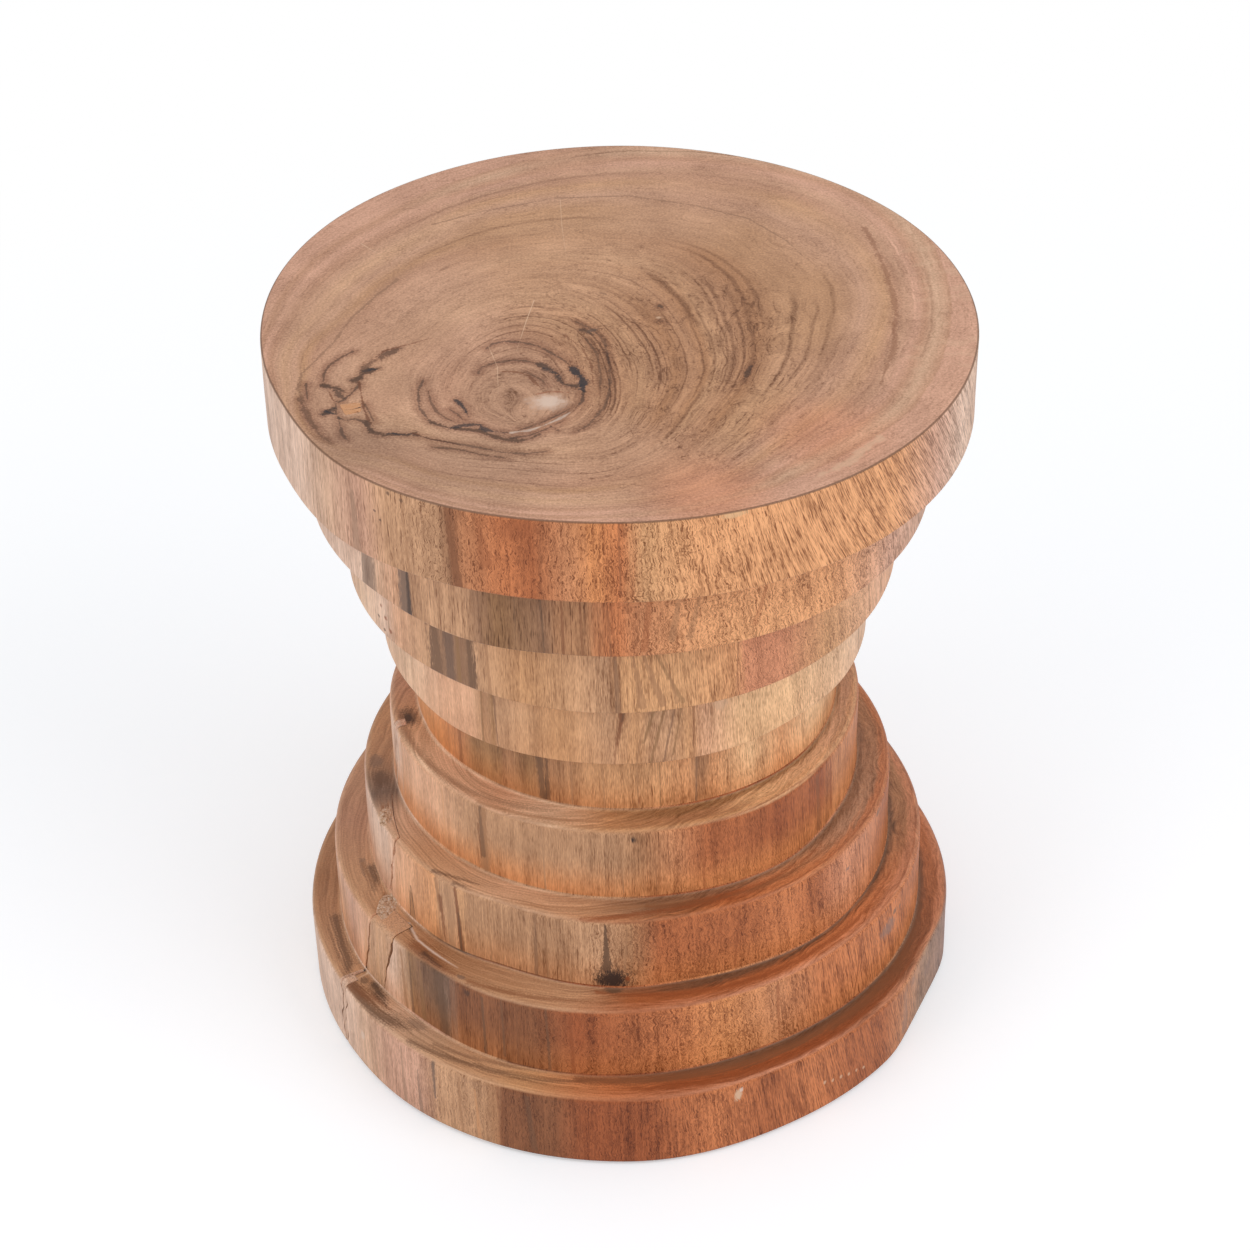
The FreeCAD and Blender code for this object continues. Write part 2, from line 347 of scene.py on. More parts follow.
def openCracks(step, kind, share, offsets, reach, height):
    wrapped = wrap(offsets)
    crack = cracks["wall"]
    along = share if kind == "wall" else 0.0
    if step == crack["step"] and kind in ("wall", "rim") and along <= crack["to"]:
        level = np.mean(height)
        ragged = 0.75 + 0.45 * math.sin(level / 3.1) + 0.25 * math.sin(level / 1.3)
        half = mix(*crack["half"], along) * ragged
        if half >= 0.03:
            reach = reach - crack["depth"] * np.sqrt(np.clip(1 - np.abs(wrapped) / half, 0, 1))
    if kind in ("ledge", "rim") and step in cracks["ledges"]:
        start, depth = cracks["ledges"][step]
        if kind == "rim" or share >= start:
            height = height - depth * np.sqrt(np.clip(1 - np.abs(wrapped) / cracks["ledgeHalf"], 0, 1))
    return reach, height


def cutPockets(step, kind, offsets, azimuth, reach):
    if step in shake["pockets"] and kind in ("ledge", "rim", "wall", "foot", "bottom"):
        edge = shake["wideColumn"] if step in shake["wide"] else shake["narrowColumn"]
        inside = (wrap(offsets) > 0) & (wrap(offsets) < edge)
        floor = outline(step, azimuth) - shake["pockets"][step]
        reach = np.where(inside, np.minimum(reach, floor), reach)
    return reach


def makeMesh(name, points, faces, materials, faceMaterials=None, sharpAngle=38.0):
    mesh = bpy.data.meshes.new(name)
    mesh.from_pydata((np.array(points) * millimetre).tolist(), [], faces)
    for material in materials:
        mesh.materials.append(material)
    mesh.polygons.foreach_set("material_index", faceMaterials or [0] * len(faces))
    mesh.polygons.foreach_set("use_smooth", [True] * len(faces))
    work = bmesh.new()  # points that lie on one another become one
    work.from_mesh(mesh)
    bmesh.ops.remove_doubles(work, verts=work.verts, dist=1e-6)
    work.to_mesh(mesh)
    work.free()
    mesh.set_sharp_from_angle(angle=math.radians(sharpAngle))
    piece = bpy.data.objects.new(name, mesh)
    bpy.context.collection.objects.link(piece)
    return piece


def makeTrunk(materials):
    offsets = columnOffsets()
    count = len(offsets)
    points, rowSteps = [], []
    for step in range(base + 1):
        for kind, share in stepRows(step):
            azimuth = rowAzimuths(offsets, step, kind, share)
            reach, height = rowPlace(step, kind, share, azimuth)
            reach = cutPockets(step, kind, offsets, azimuth, reach)
            reach, height = openCracks(step, kind, share, offsets, reach, height)
            x, y = bothAxes(reach, azimuth)
            points.append(np.stack([x, y, sinkPatches(step, kind, x, y, height)], axis=1))
            rowSteps.append(step)
    rows = len(points)
    points = np.concatenate(points).tolist()
    points += [[0.0, 0.0, stepTop(0)], [0.0, 0.0, trunk["floorGap"]]]
    crown, sole = rows * count, rows * count + 1
    faces, faceMaterials = [], []
    for column in range(count):
        following = (column + 1) % count
        faces.append((crown, column, following))
        faceMaterials.append(0)
        for row in range(rows - 1):
            upper, lower = row * count, (row + 1) * count
            faces.append((upper + column, lower + column, lower + following, upper + following))
            faceMaterials.append(rowSteps[row + 1])
        last = (rows - 1) * count
        faces.append((sole, last + following, last + column))
        faceMaterials.append(base)
    print("stool: trunk of", rows, "rows and", count, "columns")
    return makeMesh("trunkWood", points, faces, materials, faceMaterials)


# Slips, fillers and the inlay

slips = [  # the clearance is what stays open at the left and right, at the top, under it and at the foot
    # The pale tones of the upper and base slips are partly their own wood and partly painted sheen and
    # highlight.
    {"name": "upperShakeSlip", "node": "upper_shake_slip", "step": 5,
     "wood": "upper slip wood", "tones": ("shell", "rose"),
     "clearance": ((0.12, 0.12, 0.12), (0.15, 0.35, 0.45))},
    {"name": "lowerShakeSlip", "node": "lower_shake_slip", "step": 7,
     "wood": "lower slip wood", "tones": ("biscuit", "tan"),
     "clearance": ((0.20, 0.25, 0.55), (0.25, 0.85, 0.25))},
    {"name": "baseShakeSlip", "node": "base_shake_slip", "step": 8,
     "wood": "base slip wood", "tones": ("shell", "sand"),
     "clearance": ((0.20, 0.28, 0.32), (0.20, 0.28, 0.32))},
]


def sideFaces(first, second, turned):
    # closes the gap between two lines of points with as many faces as the first has spaces
    ends = [second[min(index * len(second) // len(first), len(second) - 1)] for index in range(len(first))]
    faces = []
    for a, b, c, d in zip(first, ends, first[1:], ends[1:]):
        face = [a, b, d, c] if b != d else [a, b, c]
        faces.append(face if turned else face[::-1])
    return faces


def makeSlip(slip, material):
    # a block let into the shake, with the same ledge, rim and wall as the step it mends
    step = slip["step"]
    wide = step in shake["wide"]
    edge = shake["wideColumn"] if wide else shake["narrowColumn"]
    places = np.linspace(0.0, 1.0, 22 if wide else 7)
    top, low = stepTop(step), stepTop(step + 1)
    rows = [("ledge", share) for share in (0.0, 0.3, 0.6, 0.9, 1.0)]
    rows += [row for row in stepRows(step) if row[0] in ("rim", "wall", "foot")]

    def columnsAt(drop):
        first, last = [np.interp(drop, [0.0, 0.1, 1.0], gap) for gap in slip["clearance"]]
        return first + (edge - first - last) * places

    def pocketFloor(azimuth):
        return outline(step, azimuth) - shake["pockets"][step] + 0.2

    def ringPoints(reach, azimuth, height):
        return np.stack([*bothAxes(reach, azimuth), height + 0.0 * azimuth], axis=1)

    rings = []
    for kind, share in rows:
        columnPlaces = columnsAt({"wall": share, "foot": 1.0}.get(kind, 0.0))
        azimuth = rowAzimuths(columnPlaces, step, kind, 1.0 if kind == "ledge" else share)
        reach, height = rowPlace(step, kind, share, azimuth)
        if kind == "ledge":
            reach = mix(pocketFloor(azimuth), rowPlace(step, "ledge", 1.0, azimuth)[0], share)
        else:
            reach = reach + 0.12 * np.sin(height / 4.0 + azimuth) - 0.18
        height = height - (0.12 if kind in ("ledge", "rim") else 0.0)
        rings.append(ringPoints(reach, azimuth, height))
    for height in np.linspace(rings[-1][0][2], top - 0.3, 6):
        drop = (top - height) / (top - low)
        azimuth = rowAzimuths(columnsAt(drop), step, "wall", drop)
        rings.append(ringPoints(pocketFloor(azimuth), azimuth, height))
    count = len(places)
    faces = []
    for row in range(len(rings)):
        here, after = row * count, (row + 1) % len(rings) * count
        for column in range(count - 1):
            faces.append((here + column, after + column, after + column + 1, here + column + 1))
    for column in (0, count - 1):
        side = [row * count + column for row in range(len(rings))]
        faces += sideFaces(side[:len(rows)], side[len(rows):][::-1], column == 0)
    return makeMesh(slip["name"], np.concatenate(rings).tolist(), faces, [material])


def ledgeHeight(step, x, y):
    azimuth, reach = np.degrees(np.arctan2(y, x)), np.hypot(x, y)
    top, rim, cove = stepTop(step), trunk["ledgeRim"], trunk["cove"]
    inner = wallRadius(step - 1, azimuth, top + cove) + cove
    outer = wallRadius(step, azimuth, top - rim) - rim
    lift = cove - np.sqrt(np.maximum(cove ** 2 - np.clip(inner - reach, 0, cove) ** 2, 0))
    fall = rim - np.sqrt(np.maximum(rim ** 2 - np.clip(reach - outer, 0, rim) ** 2, 0))
    return top + lift - fall


def crumb(x, y, size, seed):
    return np.array([noise.noise(Vector((a / size, b / size, seed))) for a, b in zip(x, y)])


def makeFiller(name, filler, material, seed):
    # sawdust and glue pressed into the shake: a low, crumbly, uneven mound
    rings, count = 16, 90
    bearings = np.radians(np.arange(count) * 360.0 / count)
    turn, (middleX, middleY) = math.radians(filler["turn"]), filler["place"]
    points = []
    for side, last in (("upper", rings), ("lower", rings - 1)):
        for ring in range(last + 1):
            share = ring / rings
            along = np.cos(bearings) * filler["length"] / 2 * uneven(bearings) * share
            across = np.sin(bearings) * filler["width"] / 2 * uneven(bearings) * share
            x = middleX + along * math.cos(turn) - across * math.sin(turn)
            y = middleY + along * math.sin(turn) + across * math.cos(turn)
            rough = crumb(x, y, 1.6, seed) * 0.9 + crumb(x, y, 0.7, seed + 3.0) * 0.5
            rise = filler["crown"] * (1 - share ** 3) + rough * (1 - share ** 6) * 0.6 - 0.25 * share ** 4
            if side == "lower":
                rise = -0.35 - filler["depth"] * (1 - share ** 2) * 0.9
            points.append(np.stack([x, y, ledgeHeight(filler["step"], x, y) + rise], axis=1))
    faces = []
    for column in range(count):
        following = (column + 1) % count
        for ring in range(rings):
            inner, outer = ring * count, (ring + 1) * count
            faces.append((inner + column, outer + column, outer + following, inner + following))
            below = (rings + 1 + ring) * count
            beyond = below + count if ring < rings - 1 else rings * count
            faces.append((below + following, beyond + following, beyond + column, below + column))
    return makeMesh(name, np.concatenate(points).tolist(), faces, [material], sharpAngle=60.0)


def roundedCorners(corners, rounding, steps=6):
    loop = []
    for index, corner in enumerate(corners):
        here = Vector(corner)
        before = (Vector(corners[index - 1]) - here).normalized() * rounding
        after = (Vector(corners[(index + 1) % len(corners)]) - here).normalized() * rounding
        for share in [step / steps for step in range(steps + 1)]:
            loop.append((here + before * (1 - share)).lerp(here + after * share, share))
    return loop


def makeInlay(material):
    loop = roundedCorners(inlay["corners"], inlay["rounding"])
    middle = sum(loop, Vector((0, 0))) / len(loop)
    points = [[*(middle + (point - middle) * share), stepTop(0) - under]
              for share, under in inlay["levels"] for point in loop]
    count = len(loop)
    faces = []
    for level in range(len(inlay["levels"]) - 1):
        here, above = level * count, (level + 1) * count
        for column in range(count):
            following = (column + 1) % count
            faces.append((here + following, above + following, above + column, here + column))
    return makeMesh("knotInlay", points, faces, [material])


# Wood

tones = {  # red, green and blue as a screen shows them
    "milk": (228, 206, 190), "shell": (216, 182, 160), "cream": (222, 184, 152), "peach": (218, 168, 134),
    "straw": (224, 180, 136), "rose": (200, 154, 130), "biscuit": (203, 160, 128),
    "sand": (203, 164, 136), "honey": (214, 154, 108), "gold": (200, 149, 106), "tan": (194, 149, 114),
    "buff": (193, 150, 123), "clay": (185, 140, 113), "dun": (178, 137, 110), "fawn": (180, 136, 102),
    "drab": (160, 124, 100), "oak": (176, 130, 97), "hazel": (166, 119, 84), "olive": (150, 110, 74),
    "walnut": (140, 102, 76), "amber": (208, 137, 86), "bronze": (192, 130, 90), "copper": (190, 116, 72),
    "ember": (197, 132, 98), "russet": (166, 96, 57), "brick": (148, 80, 45), "chestnut": (134, 84, 54),
    "umber": (106, 76, 56), "slate": (124, 98, 82), "mauve": (150, 116, 102), "soot": (58, 42, 36),
    "ink": (50, 50, 58),
}


def linear(tone):
    channels = [value / 255 for value in tones[tone]]
    return tuple([((value + 0.055) / 1.055) ** 2.4 if value > 0.04045 else value / 12.92
                  for value in channels] + [1.0])


class Link:
    # one output socket of a shader tree, so that sums can be written as sums
    def __init__(self, shader, socket):
        self.shader = shader
        self.socket = socket

    def __add__(self, other):
        return self.shader.maths("ADD", self, other)

    def __sub__(self, other):
        return self.shader.maths("SUBTRACT", self, other)

    def __rsub__(self, other):
        return self.shader.maths("SUBTRACT", other, self)

    def __mul__(self, other):
        return self.shader.maths("MULTIPLY", self, other)

    def __abs__(self):
        return self.shader.maths("ABSOLUTE", self)

    __radd__ = __add__
    __rmul__ = __mul__


class Shader:
    def __init__(self, tree):
        self.tree = tree
        self.tree.nodes.clear()

    def node(self, kind, settings, *values, output=0, named=None):
        # a node from its type, its settings and the values or links of its sockets
        made = self.tree.nodes.new(kind if kind.startswith("NodeGroup") else "ShaderNode" + kind)
        for key, value in settings.items():
            if key == "stops":
                elements = made.color_ramp.elements
                while len(elements) < len(value):
                    elements.new(0.5)
                for element, (position, tone) in zip(elements, value):
                    element.position = position
                    element.color = linear(tone)
            else:
                setattr(made, key, value)
        sockets = [*zip(made.inputs, values)]
        sockets += [(made.inputs[key], value) for key, value in (named or {}).items()]
        for socket, value in sockets:
            if isinstance(value, Link):
                self.tree.links.new(value.socket, socket)
            else:
                socket.default_value = value
        return Link(self, made.outputs[output]) if len(made.outputs) else None

    def outputs(self, link):
        # every output of the node that a link comes from
        return [Link(self, socket) for socket in link.socket.node.outputs]

    def maths(self, operation, *values, clamp=False):
        return self.node("Math", {"operation": operation, "use_clamp": clamp}, *values)

    def vector(self, operation, *values, output=0):
        return self.node("VectorMath", {"operation": operation}, *values, output=output)

    def scale(self, vector, amount):
        return self.node("VectorMath", {"operation": "SCALE"}, vector, named={"Scale": amount})

    def stretch(self, vector, x, y, z):
        return self.vector("MULTIPLY", vector, (x, y, z))

    def distance(self, vector, point):
        return self.vector("DISTANCE", vector, point, output="Value")

    def place(self):
        # the point on the object in millimetres
        return self.scale(self.node("TexCoord", {}, output="Object"), 1 / millimetre)

    def facingUp(self):
        return self.split(self.node("TexCoord", {}, output="Normal"))[2]

    def split(self, vector):
        return self.outputs(self.node("SeparateXYZ", {}, vector))

    def join(self, x, y, z):
        return self.node("CombineXYZ", {}, x, y, z)

    def noise(self, vector, detail=2.0, roughness=0.5, output=0):
        named = {"Vector": vector, "Scale": 1.0, "Detail": detail, "Roughness": roughness}
        return self.node("TexNoise", {}, output=output, named=named)

    def grain(self, vector, across, along, detail=2.0, roughness=0.5):
        # noise of its own scale across and along the trunk, about 0 in the middle
        return self.noise(self.stretch(vector, across, across, along), detail, roughness) - 0.5

    def ripple(self, x, y, z, detail=2.0, roughness=0.6):
        # noise over three values, about 0 in the middle
        return self.noise(self.join(x, y, z), detail, roughness) - 0.5

    def span(self, value, low, high, start=0.0, end=1.0, style="SMOOTHSTEP"):
        # value from low to high becomes start to end, held beyond
        return self.node("MapRange", {"interpolation_type": style}, value, low, high, start, end)

    def ramp(self, value, stops):
        return self.node("ValToRGB", {"stops": stops}, value)

    def blend(self, share, under, over, style="MIX"):
        return self.node("Mix", {"data_type": "RGBA", "blend_type": style}, output=2,
                         named={0: share, 6: under, 7: over})

    def paint(self, colour, tone, share):
        return self.blend(share, colour, linear(tone))

    def oval(self, vector, place, size):
        # 0 at a place, 1 on the oval of that size round it
        away = self.stretch(self.vector("SUBTRACT", vector, (*place, 0.0)), 1 / size[0], 1 / size[1], 0.0)
        return self.vector("LENGTH", away, output="Value")

    def trail(self, vector, points):
        # distance from the line through the points, and how far along the last run it is
        inner, (point,) = startGroup("line", ["Point"])
        nearest = None
        for (startX, startY), (endX, endY) in zip(points, points[1:]):
            run = (endX - startX, endY - startY, 0.0)
            square = run[0] ** 2 + run[1] ** 2
            named = {"Point": point, "Start": (startX, startY, 0.0), "Run": run,
                     "Pace": [value / square for value in run]}
            far, share = inner.outputs(inner.node("Group", {"node_tree": runGroup}, named=named))
            nearest = far if nearest is None else inner.maths("MINIMUM", nearest, far)
        inner.node("NodeGroupOutput", {}, nearest, share)
        return self.outputs(self.node("Group", {"node_tree": inner.tree}, vector))

    def after(self, vector, value):
        # the same vector, worked out only once the value is, so the renderer holds few values at once
        return self.vector("MULTIPLY_ADD", value, (1e-7, 1e-7, 0.0), vector)

    def finish(self, colour, roughness, height, bump=0.25, depth=0.0004):
        relief = self.node("Bump", {}, named={"Strength": bump, "Distance": depth, "Height": height})
        named = {"Base Color": colour, "Roughness": roughness, "Specular IOR Level": 0.3, "Normal": relief}
        self.node("OutputMaterial", {}, self.node("BsdfPrincipled", {}, named=named))


def newMaterial(name):
    material = bpy.data.materials.new(name)
    material.use_nodes = True
    return material, Shader(material.node_tree)


def startGroup(name, vectors):
    # a small tree of its own that gives a distance and a share, and links from its vectors
    tree = bpy.data.node_groups.new(name, "ShaderNodeTree")
    for vector in vectors:
        tree.interface.new_socket(vector, in_out="INPUT", socket_type="NodeSocketVector")
    for number in ("Distance", "Along"):
        tree.interface.new_socket(number, in_out="OUTPUT", socket_type="NodeSocketFloat")
    shader = Shader(tree)
    return shader, shader.outputs(shader.node("NodeGroupInput", {}))[:len(vectors)]


def makeRunGroup():
    # distance from one straight run of a line, and the share of the run nearest to the point
    shader, (point, start, run, pace) = startGroup("straight run", ["Point", "Start", "Run", "Pace"])
    away = shader.vector("SUBTRACT", point, start)
    share = shader.maths("ADD", shader.vector("DOT_PRODUCT", away, pace, output="Value"), 0.0, clamp=True)
    shader.node("NodeGroupOutput", {}, shader.distance(away, shader.scale(run, share)), share)
    return shader.tree


runGroup = makeRunGroup()


# How each step's wall looks round the stool: the tone at each azimuth, how strongly warm bounce light is
# painted in near its foot, how strong its pores and its fibres are, how far the grain leans on the right, and
# the azimuth, reach and strength of its rippled figure. Streaks run from one (azimuth, share down the wall)
# to another, between two half widths in degrees, with a tone and a strength. Knots are ovals at an azimuth
# and a share, of a half width in degrees and a half height, and eyes are rings of figure of the same form.

# The paler, greyer tones between about -180 and -140 degrees and between -40 and 0 are partly the wood's own
# tone and partly painted sheen.
walls = {
    0: {
        "glow": 0, "pores": 1, "fibre": 1, "lean": 0.62, "ripple": (-98, 34, 0.8),
        "eyes": [(-105.5, 0.12, 7, 0.62, 0.75)],
        "bands": [
            (-180, "shell"), (-150, "shell"), (-140, "sand"), (-133, "rose"), (-127, "tan"),
            (-121, "tan"), (-117.2, "fawn"), (-116, "chestnut"), (-114, "bronze"), (-108, "copper"),
            (-104, "russet"), (-98, "bronze"), (-94, "amber"), (-90, "copper"), (-86, "gold"),
            (-78, "honey"), (-44, "honey"), (-33, "rose"), (-22, "shell"), (-8, "sand"), (20, "rose"),
            (60, "clay"), (75, "tan"), (78, "fawn"), (105, "amber"), (140, "copper"), (150, "tan"),
            (180, "shell")],
        "streaks": [
            ((-134.2, 0.25), (-134, 1), 0.5, 0.9, "drab", 0.6),
            ((-116.3, 0), (-115.2, 1), 0.5, 0.9, "chestnut", 0.7),
            ((-124, 0), (-123.6, 1), 0.25, 0.3, "hazel", 0.5),
            ((-90.2, 0), (-90, 0.9), 0.3, 0.15, "chestnut", 0.5),
            ((-111.5, 0.1), (-110.5, 0.6), 0.5, 1.2, "brick", 0.35),
            ((96, 0), (95, 1), 0.6, 1.4, "chestnut", 0.6), ((30, 0), (32, 0.8), 1.2, 0.3, "drab", 0.5)],
        "knots": [
            (-106, 0.12, 4.5, 0.22, "brick", 0.45), (-126.6, 0.06, 0.5, 0.035, "umber", 0.8),
            (-124.2, 0.09, 0.4, 0.03, "umber", 0.7), (-129.4, 0.35, 0.35, 0.02, "soot", 0.7),
            (-128.4, 0.44, 0.25, 0.02, "soot", 0.7), (-73, 0.035, 2.6, 0.05, "straw", 0.75),
            (150, 0.5, 1.6, 0.1, "umber", 0.7)],
    },
    1: {
        "glow": 0, "pores": 0.8, "fibre": 1, "lean": 0.25, "ripple": (-60, 36, 1),
        "bands": [
            (-180, "rose"), (-160, "shell"), (-145, "shell"), (-139.5, "sand"), (-134, "peach"),
            (-129.5, "fawn"), (-126, "tan"), (-118, "tan"), (-115.5, "walnut"), (-112, "olive"),
            (-104, "walnut"), (-101, "hazel"), (-96, "hazel"), (-92, "copper"), (-87, "bronze"),
            (-74, "honey"), (-50, "honey"), (-34, "rose"), (0, "sand"), (40, "amber"), (72, "olive"),
            (76, "tan"), (110, "gold"), (150, "clay"), (180, "rose")],
        "streaks": [
            ((-141.9, 0), (-141.8, 1), 2, 2.2, "slate", 0.7),
            ((-131.6, 0), (-131.4, 1), 1.5, 1.8, "slate", 0.9),
            ((-130.6, 0.2), (-130.4, 1), 0.5, 0.7, "soot", 0.7),
            ((-85.4, 0.2), (-86.6, 0.9), 0.5, 0.8, "russet", 0.5),
            ((-80.2, 0.2), (-81.8, 0.8), 0.4, 0.8, "hazel", 0.5),
            ((-76.5, 0.25), (-78.6, 0.8), 0.4, 0.9, "hazel", 0.45),
            ((-64, 0.3), (-66.5, 0.8), 0.3, 0.7, "russet", 0.4),
            ((-104.3, 0), (-104, 1), 0.35, 0.3, "umber", 0.6),
            ((-108.6, 0.2), (-108.6, 1), 0.4, 0.2, "umber", 0.4),
            ((-100.5, 0.1), (-100.2, 1), 0.3, 0.4, "chestnut", 0.7),
            ((-97.2, 0.1), (-97, 1), 0.3, 0.3, "chestnut", 0.6),
            ((-92.6, 0.4), (-92.3, 1), 0.3, 0.3, "chestnut", 0.5),
            ((-125, 0.2), (-125.2, 0.7), 0.2, 0.1, "umber", 0.5)],
        "knots": [(-142, 0.75, 1, 0.2, "umber", 0.4), (45, 0.4, 1.2, 0.08, "umber", 0.7)],
    },
    2: {
        "glow": 0, "pores": 0.5, "fibre": 0.7, "lean": 0.2, "ripple": (-48, 24, 1),
        "bands": [
            (-180, "peach"), (-160, "cream"), (-146, "shell"), (-143, "peach"), (-134.2, "tan"),
            (-120.3, "tan"), (-110, "gold"), (-93, "tan"), (-91.6, "hazel"), (-90.4, "gold"),
            (-78, "gold"), (-67.6, "honey"), (-65.8, "ember"), (-58, "ember"), (-45, "gold"),
            (-25, "peach"), (10, "honey"), (60, "gold"), (85, "umber"), (90, "tan"), (140, "honey"),
            (180, "peach")],
        "streaks": [
            ((-126.9, 0), (-126.5, 1), 5.6, 6.4, "walnut", 0.75),
            ((-131, 0.15), (-130.8, 1), 1.2, 2, "umber", 0.6),
            ((-124.6, 0), (-124.8, 1), 0.5, 0.7, "olive", 0.8),
            ((-127.4, 0), (-127, 1), 1.8, 1.4, "ink", 0.4),
            ((-121.9, 0), (-121.4, 1), 1.2, 1.3, "umber", 0.7),
            ((-91.6, 0.2), (-91.2, 1), 0.5, 0.7, "walnut", 0.65),
            ((-88.5, 0.2), (-86.6, 0.9), 0.3, 1, "hazel", 0.6),
            ((-86.5, 0.2), (-82.5, 0.9), 0.4, 0.9, "hazel", 0.65),
            ((-84, 0.2), (-78.5, 0.9), 0.3, 0.6, "olive", 0.6),
            ((-82, 0.3), (-79.6, 0.9), 0.2, 0.5, "hazel", 0.5),
            ((-67.2, 0.15), (-67.4, 1), 0.3, 0.3, "chestnut", 0.5),
            ((-118, 0.2), (-117.6, 1), 0.4, 0.5, "hazel", 0.5),
            ((-104.6, 0.2), (-104.4, 1), 0.15, 0.15, "hazel", 0.6)],
        "knots": [
            (-148.6, 0.62, 0.5, 0.03, "brick", 0.8), (-146.8, 0.74, 0.7, 0.03, "brick", 0.8),
            (-149.8, 0.8, 0.6, 0.025, "umber", 0.8), (-145.2, 0.86, 0.7, 0.03, "brick", 0.8),
            (-147.6, 0.92, 0.6, 0.02, "umber", 0.8), (-124, 0.3, 0.6, 0.06, "soot", 0.6),
            (20, 0.6, 1, 0.07, "umber", 0.7)],
    },
    3: {
        "glow": 0.15, "pores": 0.25, "fibre": 0.4, "lean": 0.1, "ripple": (-40, 20, 0.3),
        "bands": [
            (-180, "cream"), (-150, "cream"), (-135, "peach"), (-127, "peach"), (-124.2, "tan"),
            (-123.6, "hazel"), (-122, "fawn"), (-120.7, "olive"), (-119.6, "tan"), (-105, "gold"),
            (-93, "tan"), (-88, "gold"), (-84, "tan"), (-80, "tan"), (-75, "gold"), (-72.6, "peach"),
            (-62, "straw"), (-50, "straw"), (-20, "cream"), (30, "straw"), (70, "gold"), (73, "hazel"),
            (78, "gold"), (130, "straw"), (180, "cream")],
        "streaks": [
            ((-90.2, 0.1), (-92.6, 1), 1.3, 0.25, "chestnut", 0.95),
            ((-89.6, 0.1), (-90.8, 0.4), 0.7, 0.3, "umber", 0.8),
            ((-82.5, 0.1), (-86, 0.7), 0.7, 0.5, "olive", 0.8),
            ((-80.5, 0.1), (-84.6, 1), 0.5, 0.4, "olive", 0.8),
            ((-78.4, 0.1), (-81.6, 1), 0.35, 0.3, "walnut", 0.75),
            ((-76.8, 0.1), (-79.4, 0.9), 0.25, 0.3, "olive", 0.7),
            ((-86.2, 0.5), (-87.8, 1), 0.3, 0.4, "hazel", 0.6),
            ((-74.5, 0.1), (-74.6, 1), 0.45, 0.3, "chestnut", 0.6),
            ((-120.6, 0.2), (-119.8, 1), 0.4, 0.25, "walnut", 0.8),
            ((-124, 0.2), (-123.8, 1), 0.3, 0.35, "olive", 0.7)],
        "knots": [
            (-27, 0.35, 2, 0.08, "amber", 0.7), (-75, 0.08, 0.4, 0.03, "umber", 0.6),
            (-68, 0.3, 2, 0.12, "cream", 0.4)],
    },
    4: {
        "glow": 0.45, "pores": 0.4, "fibre": 0.5, "lean": 0.1, "ripple": (-60, 10, 0.2),
        "bands": [
            (-180, "peach"), (-163, "honey"), (-150, "amber"), (-141, "bronze"), (-136, "olive"),
            (-126.5, "olive"), (-125, "hazel"), (-123.4, "hazel"), (-117.5, "olive"), (-111.2, "hazel"),
            (-98, "gold"), (-84, "gold"), (-72.5, "honey"), (-71, "hazel"), (-68, "hazel"),
            (-66, "honey"), (-55, "straw"), (-44, "honey"), (-32, "straw"), (0, "gold"), (50, "honey"),
            (90, "gold"), (95, "hazel"), (102, "gold"), (150, "honey"), (180, "peach")],
        "streaks": [
            ((-141.9, 0.2), (-141.6, 1), 1.2, 1, "chestnut", 0.6),
            ((-114.4, 0.2), (-113.2, 1), 1.6, 1.2, "umber", 0.75),
            ((-112.2, 0.3), (-112, 1), 0.5, 0.8, "soot", 0.5),
            ((-105.5, 0.3), (-105.2, 1), 0.3, 0.4, "hazel", 0.6),
            ((-96.5, 0.3), (-96, 1), 0.3, 0.3, "hazel", 0.5),
            ((-87, 0.3), (-86.6, 1), 0.35, 0.3, "hazel", 0.6),
            ((-81, 0.3), (-80.8, 1), 0.3, 0.3, "olive", 0.6),
            ((-70.6, 0.3), (-70.8, 1), 0.5, 0.4, "walnut", 0.75),
            ((-61, 0.3), (-61, 1), 0.2, 0.3, "hazel", 0.5)],
        "knots": [(-86.6, 0.85, 0.5, 0.06, "brick", 0.5)],
    },
    5: {
        "glow": 0.75, "pores": 0.35, "fibre": 0.6, "lean": 0.05, "ripple": (-62, 18, 0.5),
        "bands": [
            (-180, "peach"), (-163, "shell"), (-160, "peach"), (-145, "peach"), (-131, "tan"),
            (-123.6, "fawn"), (-92, "fawn"), (-87, "hazel"), (-80, "bronze"), (-72, "russet"),
            (-62, "russet"), (-52, "brick"), (-44, "russet"), (-36, "brick"), (-28, "bronze"),
            (0, "copper"), (40, "amber"), (80, "honey"), (84, "hazel"), (90, "gold"), (140, "honey"),
            (180, "peach")],
        "streaks": [
            ((-126.5, 0), (-126.3, 1), 1.7, 1.5, "hazel", 0.8),
            ((-127, 0), (-126.8, 0.75), 0.6, 0.9, "umber", 0.6),
            ((-127.8, 0.3), (-127.4, 0.8), 0.4, 0.3, "chestnut", 0.6),
            ((-91.6, 0.1), (-91, 0.9), 0.15, 0.2, "hazel", 0.7),
            ((-84, 0.2), (-83.4, 0.9), 0.2, 0.2, "chestnut", 0.5),
            ((-81, 0.1), (-80.6, 0.6), 0.2, 0.25, "chestnut", 0.5),
            ((-72.4, 0.3), (-71.8, 1), 0.4, 0.5, "russet", 0.5),
            ((-38, 0.1), (-37, 0.9), 0.8, 1.2, "chestnut", 0.6),
            ((-31.5, 0.1), (-31, 0.8), 0.5, 0.8, "brick", 0.6),
